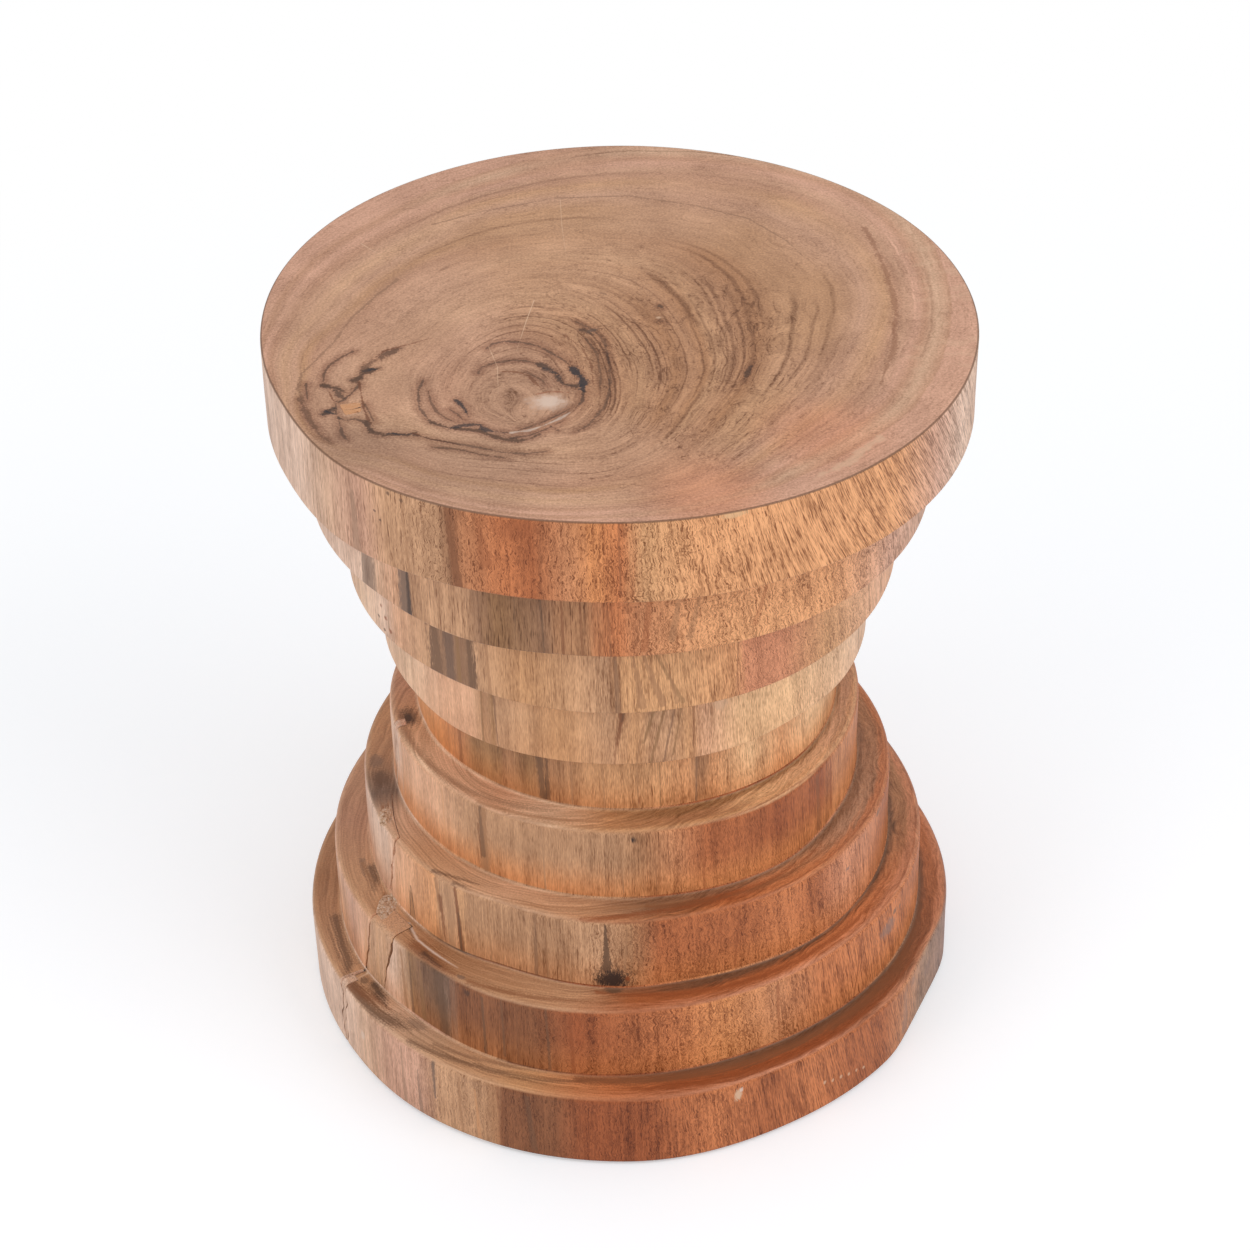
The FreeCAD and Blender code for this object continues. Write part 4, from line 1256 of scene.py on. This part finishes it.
seat = {
    "pith": (-50, -100),
    "bump": 0.2,
    "swells": [  # how the rings bulge: (x, y, reach, amount)
        (75, 0, 150, -0.019), (38, 65, 150, 0.096), (-37, 65, 150, -0.06), (-75, 0, 150, -0.008),
        (38, -65, 150, 0.129), (39, -145, 150, 0.067), (123, -86, 150, 0.064), (149, 13, 150, 0.046),
        (106, 106, 150, -0.049), (13, 149, 150, -0.01), (-86, 123, 150, 0.068), (-145, 39, 150, 0.034),
        (-155, -45, 70, -0.108), (-150, -100, 60, -0.24), (-105, -125, 70, -0.035),
        (-50, -120, 60, 0.111), (-100, -60, 60, -0.024), (-50, -20, 70, -0.045)],
    "rightRings": [  # the tone at each ring, 0 at the pith and 1 at the bark
        (0, "clay"), (0.18, "dun"), (0.255, "oak"), (0.303, "fawn"), (0.349, "oak"), (0.41, "fawn"),
        (0.458, "oak"), (0.493, "hazel"), (0.535, "oak"), (0.565, "hazel"), (0.588, "fawn"),
        (0.629, "oak"), (0.671, "hazel"), (0.713, "fawn"), (0.78, "fawn"), (0.826, "buff"),
        (0.864, "tan"), (0.887, "clay"), (0.903, "buff"), (0.927, "rose"), (0.945, "clay"),
        (0.969, "sand"), (0.999, "clay"), (1, "rose")],
    "leftRings": [
        (0, "clay"), (0.15, "dun"), (0.26, "clay"), (0.336, "buff"), (0.445, "biscuit"), (0.574, "buff"),
        (0.694, "clay"), (0.735, "fawn"), (0.777, "buff"), (0.829, "biscuit"), (0.871, "buff"),
        (0.903, "clay"), (0.944, "rose"), (0.976, "clay"), (1, "rose")],
    "regions": [  # broad tones by place: (x, y, reach, tone, strength)
        (-75, -140, 60, "drab", 0.55), (-135, -120, 45, "drab", 0.7), (-150, -70, 40, "dun", 0.5),
        (30, -150, 60, "clay", 0.6), (105, -115, 48, "ember", 0.55), (45, -168, 45, "ember", 0.6),
        (-5, -120, 40, "dun", 0.6), (-125, -75, 24, "clay", 0.6), (-165, 10, 40, "dun", 0.5),
        (-112, -25, 46, "clay", 0.6), (-25, 60, 80, "biscuit", 0.55), (35, 118, 62, "buff", 0.5),
        (-75, -28, 34, "buff", 0.5), (118, 78, 50, "buff", 0.5), (-110, -10, 34, "dun", 0.5),
        (-118, -62, 30, "dun", 0.5), (-95, 30, 50, "buff", 0.5), (60, 145, 50, "clay", 0.6),
        (110, -60, 45, "clay", 0.5), (-30, 175, 40, "clay", 0.7)],
    "lines": [  # growth rings: (ring, half width, darkness, x, y, reach), seen near that place
        (0.219, 0.0024, 0.6, -48, -35, 34), (0.263, 0.0024, 0.8, -60, -20, 34),
        (0.282, 0.0025, 0.6, -50, -10, 34), (0.317, 0.0026, 0.6, -30, -5, 40),
        (0.339, 0.004, 1.1, -6, -50, 62), (0.325, 0.0024, 0.8, -10, -60, 50),
        (0.353, 0.0032, 0.7, 0, -70, 40), (0.387, 0.0028, 0.8, -1, -25, 44),
        (0.399, 0.0024, 0.5, 8, -40, 44), (0.438, 0.0032, 0.9, 8, -20, 48),
        (0.457, 0.0024, 0.6, 10, -10, 44), (0.456, 0.0032, 0.9, 19, -40, 44),
        (0.471, 0.0024, 0.6, 22, -50, 50), (0.519, 0.0028, 0.7, 30, -40, 64),
        (0.536, 0.0024, 0.5, 20, 30, 60), (0.569, 0.0072, 0.9, 32, 20, 36),
        (0.56, 0.0035, 0.8, 44, -40, 54), (0.574, 0.0068, 0.8, 35, -95, 32),
        (0.586, 0.003, 0.6, 50, -30, 60), (0.627, 0.0044, 0.7, 60, -20, 76),
        (0.614, 0.0032, 0.6, 60, -20, 80), (0.648, 0.0037, 0.6, 66, -30, 70),
        (0.665, 0.0053, 0.7, 70, 0, 100), (0.684, 0.0042, 0.6, 60, 40, 64),
        (0.73, 0.0056, 0.8, 90, -30, 62), (0.759, 0.0035, 0.6, 100, -30, 60),
        (0.782, 0.0042, 0.6, 116, 0, 54), (0.745, 0.0056, 0.5, -60, 90, 70),
        (0.897, 0.0049, 0.5, -60, 135, 90), (0.698, 0.0042, 0.5, -60, -140, 50),
        (0.549, 0.0042, 0.6, -60, -130, 50), (0.609, 0.0041, 0.5, -40, -140, 50),
        (0.921, 0.0033, -0.5, 150, 40, 60), (0.958, 0.0033, 0.4, 150, 0, 60),
        (0.972, 0.0036, 0.5, 40, 165, 90)],
    "marks": [  # lines through places, with their half width, tone and strength
        ([(-165, -59), (-164, -68), (-163, -77)], 0.8, "soot", 0.55),
        ([(-167, -74), (-164, -85), (-160, -96), (-155, -108), (-148, -116)], 1.6, "umber", 0.5),
        ([(-142, -28), (-149, -35), (-154, -42), (-156, -50), (-156, -58)], 0.9, "umber", 0.7),
        ([(-156, -61), (-152, -63), (-148, -64), (-144, -68)], 2, "umber", 0.95),
        ([(-149, -66), (-146, -72), (-144, -74)], 1.5, "soot", 0.6),
        ([(-152, -68), (-150, -75), (-148, -78)], 0.6, "chestnut", 0.7),
        ([(-154, -89), (-151, -85), (-148, -81)], 2.1, "soot", 0.8),
        ([(-153, -86), (-148, -89)], 1.1, "ink", 0.8),
        ([(-148, -77), (-148, -84), (-147, -90)], 0.8, "soot", 0.55),
        ([(-147, -78), (-144, -75), (-140, -69), (-137, -62), (-137, -56)], 1, "soot", 0.6),
        ([(-140, -57), (-137, -55), (-135, -50), (-131, -47), (-127, -45)], 2.4, "umber", 0.9),
        ([(-135, -48), (-131, -46), (-128, -46)], 1.2, "ink", 0.8),
        ([(-137, -54), (-134, -42), (-129, -37), (-127, -35)], 2, "umber", 0.6),
        ([(-128, -36), (-126, -32), (-122, -29), (-116, -25)], 2.8, "umber", 0.7),
        ([(-129, -34), (-125, -28), (-117, -24), (-110, -21), (-100, -16)], 1, "chestnut", 0.8),
        ([(-137, -58), (-135, -72), (-133, -85), (-130, -96), (-126, -104)], 0.8, "chestnut", 0.8),
        ([(-133, -80), (-130, -88), (-127, -98)], 0.6, "umber", 0.6),
        ([(-146, -93), (-142, -95), (-137, -94), (-132, -97), (-130, -103),
         (-126, -108)], 1.2, "soot", 0.6),
        ([(-131, -98), (-128, -106), (-121, -110), (-116, -109), (-110, -110),
         (-105, -108)], 2, "umber", 0.85),
        ([(-121, -109), (-117, -108), (-113, -110), (-106, -109)], 0.9, "ink", 0.7),
        ([(-146, -92), (-145, -99), (-143, -108), (-140, -114)], 1, "soot", 0.55),
        ([(-106, -109), (-98, -114), (-90, -117), (-82, -120)], 1, "chestnut", 0.85),
        ([(-103, -58), (-105, -66), (-105, -76), (-104, -85), (-98, -98),
         (-90, -105)], 0.9, "soot", 0.55),
        ([(-100, -69), (-98, -80), (-95, -89), (-89, -96), (-82, -100)], 0.8, "umber", 0.6),
        ([(-97, -99), (-89, -104), (-80, -106), (-72, -108), (-66, -112), (-60, -116), (-52, -118),
         (-46, -116), (-40, -111)], 1.6, "umber", 0.85),
        ([(-88, -105), (-81, -102), (-72, -102), (-68, -108), (-58, -110)], 1.6, "ink", 0.75),
        ([(-85, -78), (-82, -83), (-80, -88), (-78, -94)], 1.6, "ink", 0.85),
        ([(-88, -87), (-84, -91), (-81, -97)], 0.8, "soot", 0.45),
        ([(-74, -52), (-72, -46), (-65, -42), (-57, -40), (-49, -41), (-42, -44)], 1.1, "soot", 0.45),
        ([(-42, -44), (-35, -51), (-31, -60), (-29, -65), (-23, -67), (-18, -66)], 1.9, "soot", 0.7),
        ([(-39, -50), (-32, -54), (-30, -61)], 2, "ink", 0.6),
        ([(-70, -28), (-67, -23), (-61, -21), (-52, -22), (-43, -26), (-36, -33), (-28, -42),
         (-24, -50)], 1.1, "soot", 0.55),
        ([(-25, -48), (-21, -54), (-18, -64), (-18, -72)], 2.5, "ink", 0.9),
        ([(-18, -72), (-19, -82), (-23, -89)], 1.1, "soot", 0.6),
        ([(-61, -51), (-53, -52), (-47, -56), (-43, -64), (-39, -70)], 0.9, "chestnut", 0.8),
        ([(-48, -52), (-41, -59), (-37, -66)], 0.9, "umber", 0.6),
        ([(-43, -74), (-37, -72), (-31, -72), (-26, -73)], 0.8, "brick", 0.6),
        # a painted highlight along the raised lower edge of the pale patch by the pith
        ([(-56, -110), (-46, -108), (-39, -104), (-31, -98), (-25, -92)], 0.9, "milk", 0.85),
        ([(-52, -108), (-41, -102), (-31, -94), (-23, -86)], 0.6, "soot", 0.55),
        ([(-56, -115), (-46, -113), (-37, -107), (-29, -100)], 0.6, "soot", 0.55),
        ([(-35, -105), (-31, -109)], 1.5, "soot", 0.7),
        ([(-22, -2), (-12, -12), (-7, -24), (-5, -39), (-4, -57), (-5, -75), (-7, -87), (-11, -95),
         (-16, -105), (-23, -111)], 1, "soot", 0.45), ([(-18, -11), (-13, -16)], 2.2, "umber", 0.85),
        ([(-28, -16), (-19, -29), (-14, -46), (-13, -67)], 0.8, "chestnut", 0.7),
        ([(-17, -20), (-11, -35), (-9, -57), (-10, -75)], 0.8, "umber", 0.5),
        ([(-106, -110), (-96, -115), (-84, -119), (-73, -123), (-60, -128), (-48, -130),
         (-37, -128)], 0.9, "soot", 0.45),
        ([(-96, -122), (-84, -124), (-70, -130), (-56, -134)], 1, "umber", 0.7),
        ([(-121, 46), (-132, 29), (-144, 7), (-153, -19), (-162, -38), (-168, -49), (-169, -64),
         (-165, -75), (-159, -98), (-153, -111), (-145, -119)], 1, "walnut", 0.6),
        ([(-103, 106), (-77, 119), (-34, 133), (8, 134), (47, 121), (76, 105), (96, 80),
         (107, 57)], 0.8, "walnut", 0.55),
        ([(141, 92), (145, 73), (149, 47), (151, 22), (152, -1), (149, -18), (149, -33), (143, -53),
         (138, -72)], 2, "chestnut", 0.5), ([(71, -51), (68, -59), (66, -66)], 2, "soot", 0.6),
        ([(24, 12), (26, 9)], 1.6, "umber", 0.8), ([(-8, 27), (-5, 25)], 1.4, "walnut", 0.7),
        ([(-15, -12), (-10, -10)], 2, "slate", 0.8), ([(23, 0), (25, 0)], 1.6, "cream", 0.8),
        ([(24, -4), (26, -5)], 1.1, "umber", 0.7),
        ([(-45, 21), (-49, 0), (-54, -31)], 0.32, "cream", 0.85),
        ([(-69, -26), (-64, -46), (-63, -73)], 0.28, "cream", 0.8),
        ([(-31, 131), (-30, 101), (-27, 61)], 0.28, "cream", 0.6),
        ([(-143, 86), (-130, 71)], 0.4, "cream", 0.8), ([(169, 97), (186, 62)], 0.5, "cream", 0.6),
        ([(134, -122), (118, -142), (98, -158)], 3, "cream", 0.5)],
    "knots": [  # (x, y, half width, half height, tone, strength)
        # the first two are the pale patch by the pith: pale grain, with a painted glossy highlight on its
        # raised dome
        (-36.5, -82, 12.5, 10.5, "shell", 0.75), (-36, -81, 8, 6.5, "milk", 0.5),
        (-12.5, -11, 2.4, 1.8, "ink", 0.5)],
}


seatRings = {  # how often each kind of ring varies between the pith and the bark
    "broad": 24.0,
    "fine": 90.0,
    "crisp": 38.0,
    "hair": 85.0,
    "wave": 14.0,
}


def seatGround(shader, level, ring):
    # the growth rings' own tones, and broad tones by place
    x, y, _ = shader.split(level)
    colour = shader.blend(shader.span(x + y * 0.35, -95.0, -15.0),
                          shader.ramp(ring, seat["leftRings"]), shader.ramp(ring, seat["rightRings"]))
    for spotX, spotY, reach, tone, strength in seat["regions"]:
        away = shader.distance(level, (spotX, spotY, 0.0))
        colour = shader.paint(colour, tone, shader.span(away, reach * 0.2, reach, strength, 0.0))
    return colour


def seatLight(shader, level, ring, stir, jitter, speck):
    # the fine rings, and the single darker or paler ones
    busy = shader.span(shader.distance(level, (15.0, -50.0, 0.0)), 50.0, 140.0, 1.0, 0.4)
    patchy = shader.grain(level, 0.02, 0.0, 1.0)
    dots = shader.grain(level, 0.3, 0.0, 1.0)
    broad = shader.ripple(ring * seatRings["broad"], patchy * 4.0, 0.0)
    fine = shader.ripple(ring * seatRings["fine"], patchy * 12.0, 1.0)
    crisp = abs(shader.ripple(ring * seatRings["crisp"], patchy * 9.0, 4.0, 2.0, 0.55))
    crisp = shader.span(crisp, 0.0, 0.035, 1.0, 0.0)
    hair = abs(shader.ripple(ring * seatRings["hair"], patchy * 24.0, 2.0, 1.0, 0.5))
    hair = shader.span(hair, 0.0, 0.05, 1.0, 0.0)
    fade = shader.span(jitter + patchy + dots * 1.2, -0.2, 0.25, 0.1, 1.0)
    amount = (lightness["seat"] + stir * 0.5 + speck
              + busy * (broad * 0.9 + fine - fade * (crisp * 0.42 + hair * 0.30)))
    for value, half, dark, spotX, spotY, reach in seat["lines"]:
        near = shader.span(abs(ring - value), half * 0.2, half * 1.3, dark * 0.6, 0.0)
        where = shader.span(shader.distance(level, (spotX, spotY, 0.0)), reach * 0.55, reach, 1.0, 0.0)
        amount = amount - near * where * (0.8 + fine * 2.0)
    return amount


def drawMarks(shader, colour, level, ragged):
    smudge = None
    for points, half, tone, strength in seat["marks"]:
        away, along = shader.trail(level, points)
        away = away + along * (half * 0.7)
        if tone in ("umber", "soot", "ink"):
            smudge = away if smudge is None else shader.maths("MINIMUM", smudge, away)
        rough = ragged * half * (1.2 if half > 0.5 else 0.3)
        near = shader.span(away + rough, half * 0.3, half * 1.15, strength, 0.0)
        colour = shader.paint(colour, tone, near)
        level = shader.after(level, near)
    around = shader.span(smudge + ragged * 2.0, 0.5, 6.0, 0.5, 0.0)
    return shader.blend(around, colour, linear("drab"), "MULTIPLY")


def seatMaterial():
    material, shader = newMaterial("wood step 1")
    place = shader.place()
    wall, azimuth, fibre, dash = wallWood(shader, place, 0)
    ring, level = ringDistance(shader, place, seat["pith"], seat["swells"])
    stir = shader.grain(level, 0.03, 0.0)
    jitter = shader.grain(level, 0.12, 0.0)
    speck = shader.grain(level, 0.75, 0.0, 2.0, 0.6)
    ragged = jitter * 2.6 + speck * 1.6
    ring = ring + stir * 0.010 + jitter * 0.005
    colour = seatGround(shader, level, ring)
    colour = shade(shader, colour, seatLight(shader, level, ring, stir, jitter, speck))
    wave = shader.ripple(ring * seatRings["wave"], azimuth * 0.35, 0.0, 1.0, 0.5)
    byPlace = shader.span(shader.distance(level, (165.0, 10.0, 0.0)), 50.0, 95.0, 0.25, 0.0)
    fiddle = shader.span(wave, 0.02, 0.16) * shader.span(ring, 0.91, 0.94) * byPlace
    colour = shader.paint(colour, "cream", fiddle)
    for knotX, knotY, half, halfHigh, tone, strength in seat["knots"]:
        away = shader.oval(level, (knotX, knotY), (half, halfHigh)) + ragged * 0.5
        colour = shader.paint(colour, tone, shader.span(away, 0.4, 1.05, strength, 0.0))
    colour = drawMarks(shader, colour, level, ragged)
    up = shader.facingUp()
    colour = shader.blend(shader.span(up, 0.5, 0.9), wall, colour)
    # painted shade: a dark band on the rounded rim where the seat turns down into the wall
    rimShade = shader.span(up, 0.2, 0.6) * shader.span(up, 0.999, 0.9)
    colour = shader.paint(colour, "umber", rimShade * 0.75)
    finishWood(shader, colour, fibre, dash, seat["bump"])
    return material


def slipMaterial(slip):
    material, shader = newMaterial(slip["wood"])
    place = shader.place()
    streak = shader.grain(place, 0.35, 0.01, 3.0)
    fibre = shader.grain(place, 1.1, 0.03)
    fine = shader.grain(place, 2.4, 0.3, 1.0)
    first, second = slip["tones"]
    colour = shader.blend(shader.span(streak, -0.1, 0.2), linear(first), linear(second))
    colour = shade(shader, colour, lightness["slip"] + streak * 0.8 + fibre + fine * 0.8)
    shader.finish(colour, 0.5, fibre)
    return material


def inlayMaterial():
    material, shader = newMaterial("inlay wood")
    place = shader.place()
    level = shader.stretch(place, 1.0, 1.0, 0.0)
    fibre = shader.noise(shader.stretch(place, 0.35, 1.6, 0.5), 3.0, 0.6) - 0.5
    fine = shader.noise(shader.stretch(place, 1.6, 3.0, 1.0)) - 0.5
    colour = shader.blend(shader.span(fibre, -0.15, 0.2), linear("honey"), linear("tan"))
    colour = shade(shader, colour, lightness["slip"] + fibre * 1.2 + fine * 0.8)
    for points, half, tone in inlay["lines"]:
        away, along = shader.trail(level, points)
        away = away + fine * 0.4 + (1.0 - along) * (half * 0.7)
        colour = shader.paint(colour, tone, shader.span(away, half * 0.4, half * 1.2, 0.95, 0.0))
    shader.finish(colour, 0.5, fibre)
    return material


def fillerMaterial():
    material, shader = newMaterial("sawdust filler")
    place = shader.place()
    lump = shader.grain(place, 0.55, 0.55, 3.0, 0.7)
    grit = shader.grain(place, 2.4, 2.4, 2.0, 0.6)
    colour = shader.ramp(lump * 2.2 + grit * 1.2 + 0.5,
                         [(0.12, "walnut"), (0.3, "biscuit"), (0.55, "cream"), (0.85, "milk")])
    shader.finish(colour, 0.75, lump + grit, bump=0.8, depth=0.0010)
    return material


def feltMaterial():
    material, shader = newMaterial("wool felt")
    place = shader.place()
    hairs = shader.grain(place, 1.6, 1.6, 4.0, 0.7)
    tufts = shader.grain(place, 0.35, 0.35)
    colour = shader.ramp(hairs * 1.3 + tufts * 0.6 + 0.5, [(0.2, "soot"), (0.5, "umber"), (0.85, "slate")])
    shader.finish(colour, 0.95, hairs, bump=0.6, depth=0.0005)
    return material


woods = [seatMaterial()] + [stepMaterial(step) for step in range(1, base + 1)]
print("stool: materials made")

pieces = [(makeTrunk(woods), "trunk", "log_wood")]
for slip in slips:
    pieces.append((makeSlip(slip, slipMaterial(slip)), slip["node"], "slip_wood"))
pieces.append((makeInlay(inlayMaterial()), "seat_knot_slip", "slip_wood"))
sawdust = fillerMaterial()
for node, filler in fillers.items():
    piece = makeFiller(filler["name"], filler, sawdust, 4.0 + filler["step"])
    pieces.append((piece, node, "sawdust_filler"))
for piece, node, slot in pieces:
    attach(piece, "root")
    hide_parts(node)
    print("stool:", piece.name, "has", len(piece.data.polygons), "faces")

pads = [thing for thing in bpy.data.objects if thing.name.startswith("felt_pads")][0]
felt = feltMaterial()
for slot in pads.material_slots:
    slot.material = felt


# Camera, floor and light

camera = {
    "focal": 96.91,
    "sensor": 36.0,
    "elevation": 36.75,
    "distance": 1951.0,
    "side": 1.0,
    "height": 242.3,
    "roll": -1.21,
}


def makeCamera():
    lens = bpy.data.cameras.new("camera")
    lens.lens = camera["focal"]
    lens.sensor_width = camera["sensor"]
    lens.clip_end = 50.0
    eye = bpy.data.objects.new("camera", lens)
    bpy.context.collection.objects.link(eye)
    tilt = math.radians(camera["elevation"])
    place = (camera["side"], -camera["distance"] * math.cos(tilt),
             camera["height"] + camera["distance"] * math.sin(tilt))
    eye.location = [value * millimetre for value in place]
    turn = Matrix.Rotation(math.pi / 2 - tilt, 3, "X") @ Matrix.Rotation(math.radians(camera["roll"]), 3, "Z")
    eye.rotation_euler = turn.to_euler("XYZ")
    bpy.context.scene.camera = eye


studio = {
    "floorHalf": 6.0,
    "paint": (0.80, 0.82, 0.85, 1.0),
    "glow": (0.98, 0.99, 1.0, 1.0),
    "glowStrength": 0.31,
    "white": (1.0, 1.0, 1.0, 1.0),
    "fade": (450.0, 1100.0),  # between these distances the floor turns white
    "air": 0.86,
    "aim": (0.0, 0.0, 0.25),
    "lamps": {
        "right": {"place": (1.8, -1.1, 1.8), "size": 2.0, "power": 20.0},
        "left": {"place": (-1.9, -1.5, 1.4), "size": 1.8, "power": 17.0},
    },
}


def forCamera(shader, seen, unseen):
    # one surface for what the camera sees and another for the light it gives
    rays = shader.node("LightPath", {}, output="Is Camera Ray")
    return shader.node("MixShader", {}, rays, unseen, seen)


def makeFloor():
    half = studio["floorHalf"]
    mesh = bpy.data.meshes.new("floor")
    corners = [(-half, -half, 0), (half, -half, 0), (half, half, 0), (-half, half, 0)]
    mesh.from_pydata(corners, [], [(0, 1, 2, 3)])
    floor = bpy.data.objects.new("floor", mesh)
    bpy.context.collection.objects.link(floor)
    material, shader = newMaterial("floor")
    paint = shader.node("BsdfDiffuse", {}, studio["paint"])
    glow = shader.node("Emission", {}, studio["glow"], studio["glowStrength"])
    white = shader.node("Emission", {}, studio["white"], 1.0)
    level = shader.stretch(shader.place(), 1.0, 1.0, 0.0)
    far = shader.span(shader.distance(level, (0.0, 0.0, 0.0)), *studio["fade"])
    near = shader.node("AddShader", {}, paint, glow)
    seen = shader.node("MixShader", {}, far, near, white)
    shader.node("OutputMaterial", {}, forCamera(shader, seen, paint))
    mesh.materials.append(material)


def makeLamps():
    for name, lamp in studio["lamps"].items():
        source = bpy.data.lights.new(name, "AREA")
        source.shape = "DISK"
        source.size = lamp["size"]
        source.energy = lamp["power"]
        holder = bpy.data.objects.new(name, source)
        bpy.context.collection.objects.link(holder)
        aim = Vector(studio["aim"]) - Vector(lamp["place"])
        holder.location = lamp["place"]
        holder.rotation_euler = aim.to_track_quat("-Z", "Y").to_euler()


def makeWorld():
    world = bpy.data.worlds.new("studio")
    world.use_nodes = True
    shader = Shader(world.node_tree)
    soft = shader.node("Background", {}, named={"Strength": studio["air"]})
    white = shader.node("Background", {}, studio["white"])
    shader.node("OutputWorld", {}, forCamera(shader, white, soft))
    bpy.context.scene.world = world


makeCamera()
makeFloor()
makeLamps()
makeWorld()
bpy.context.scene.view_settings.view_transform = "Standard"
print("stool: studio ready")
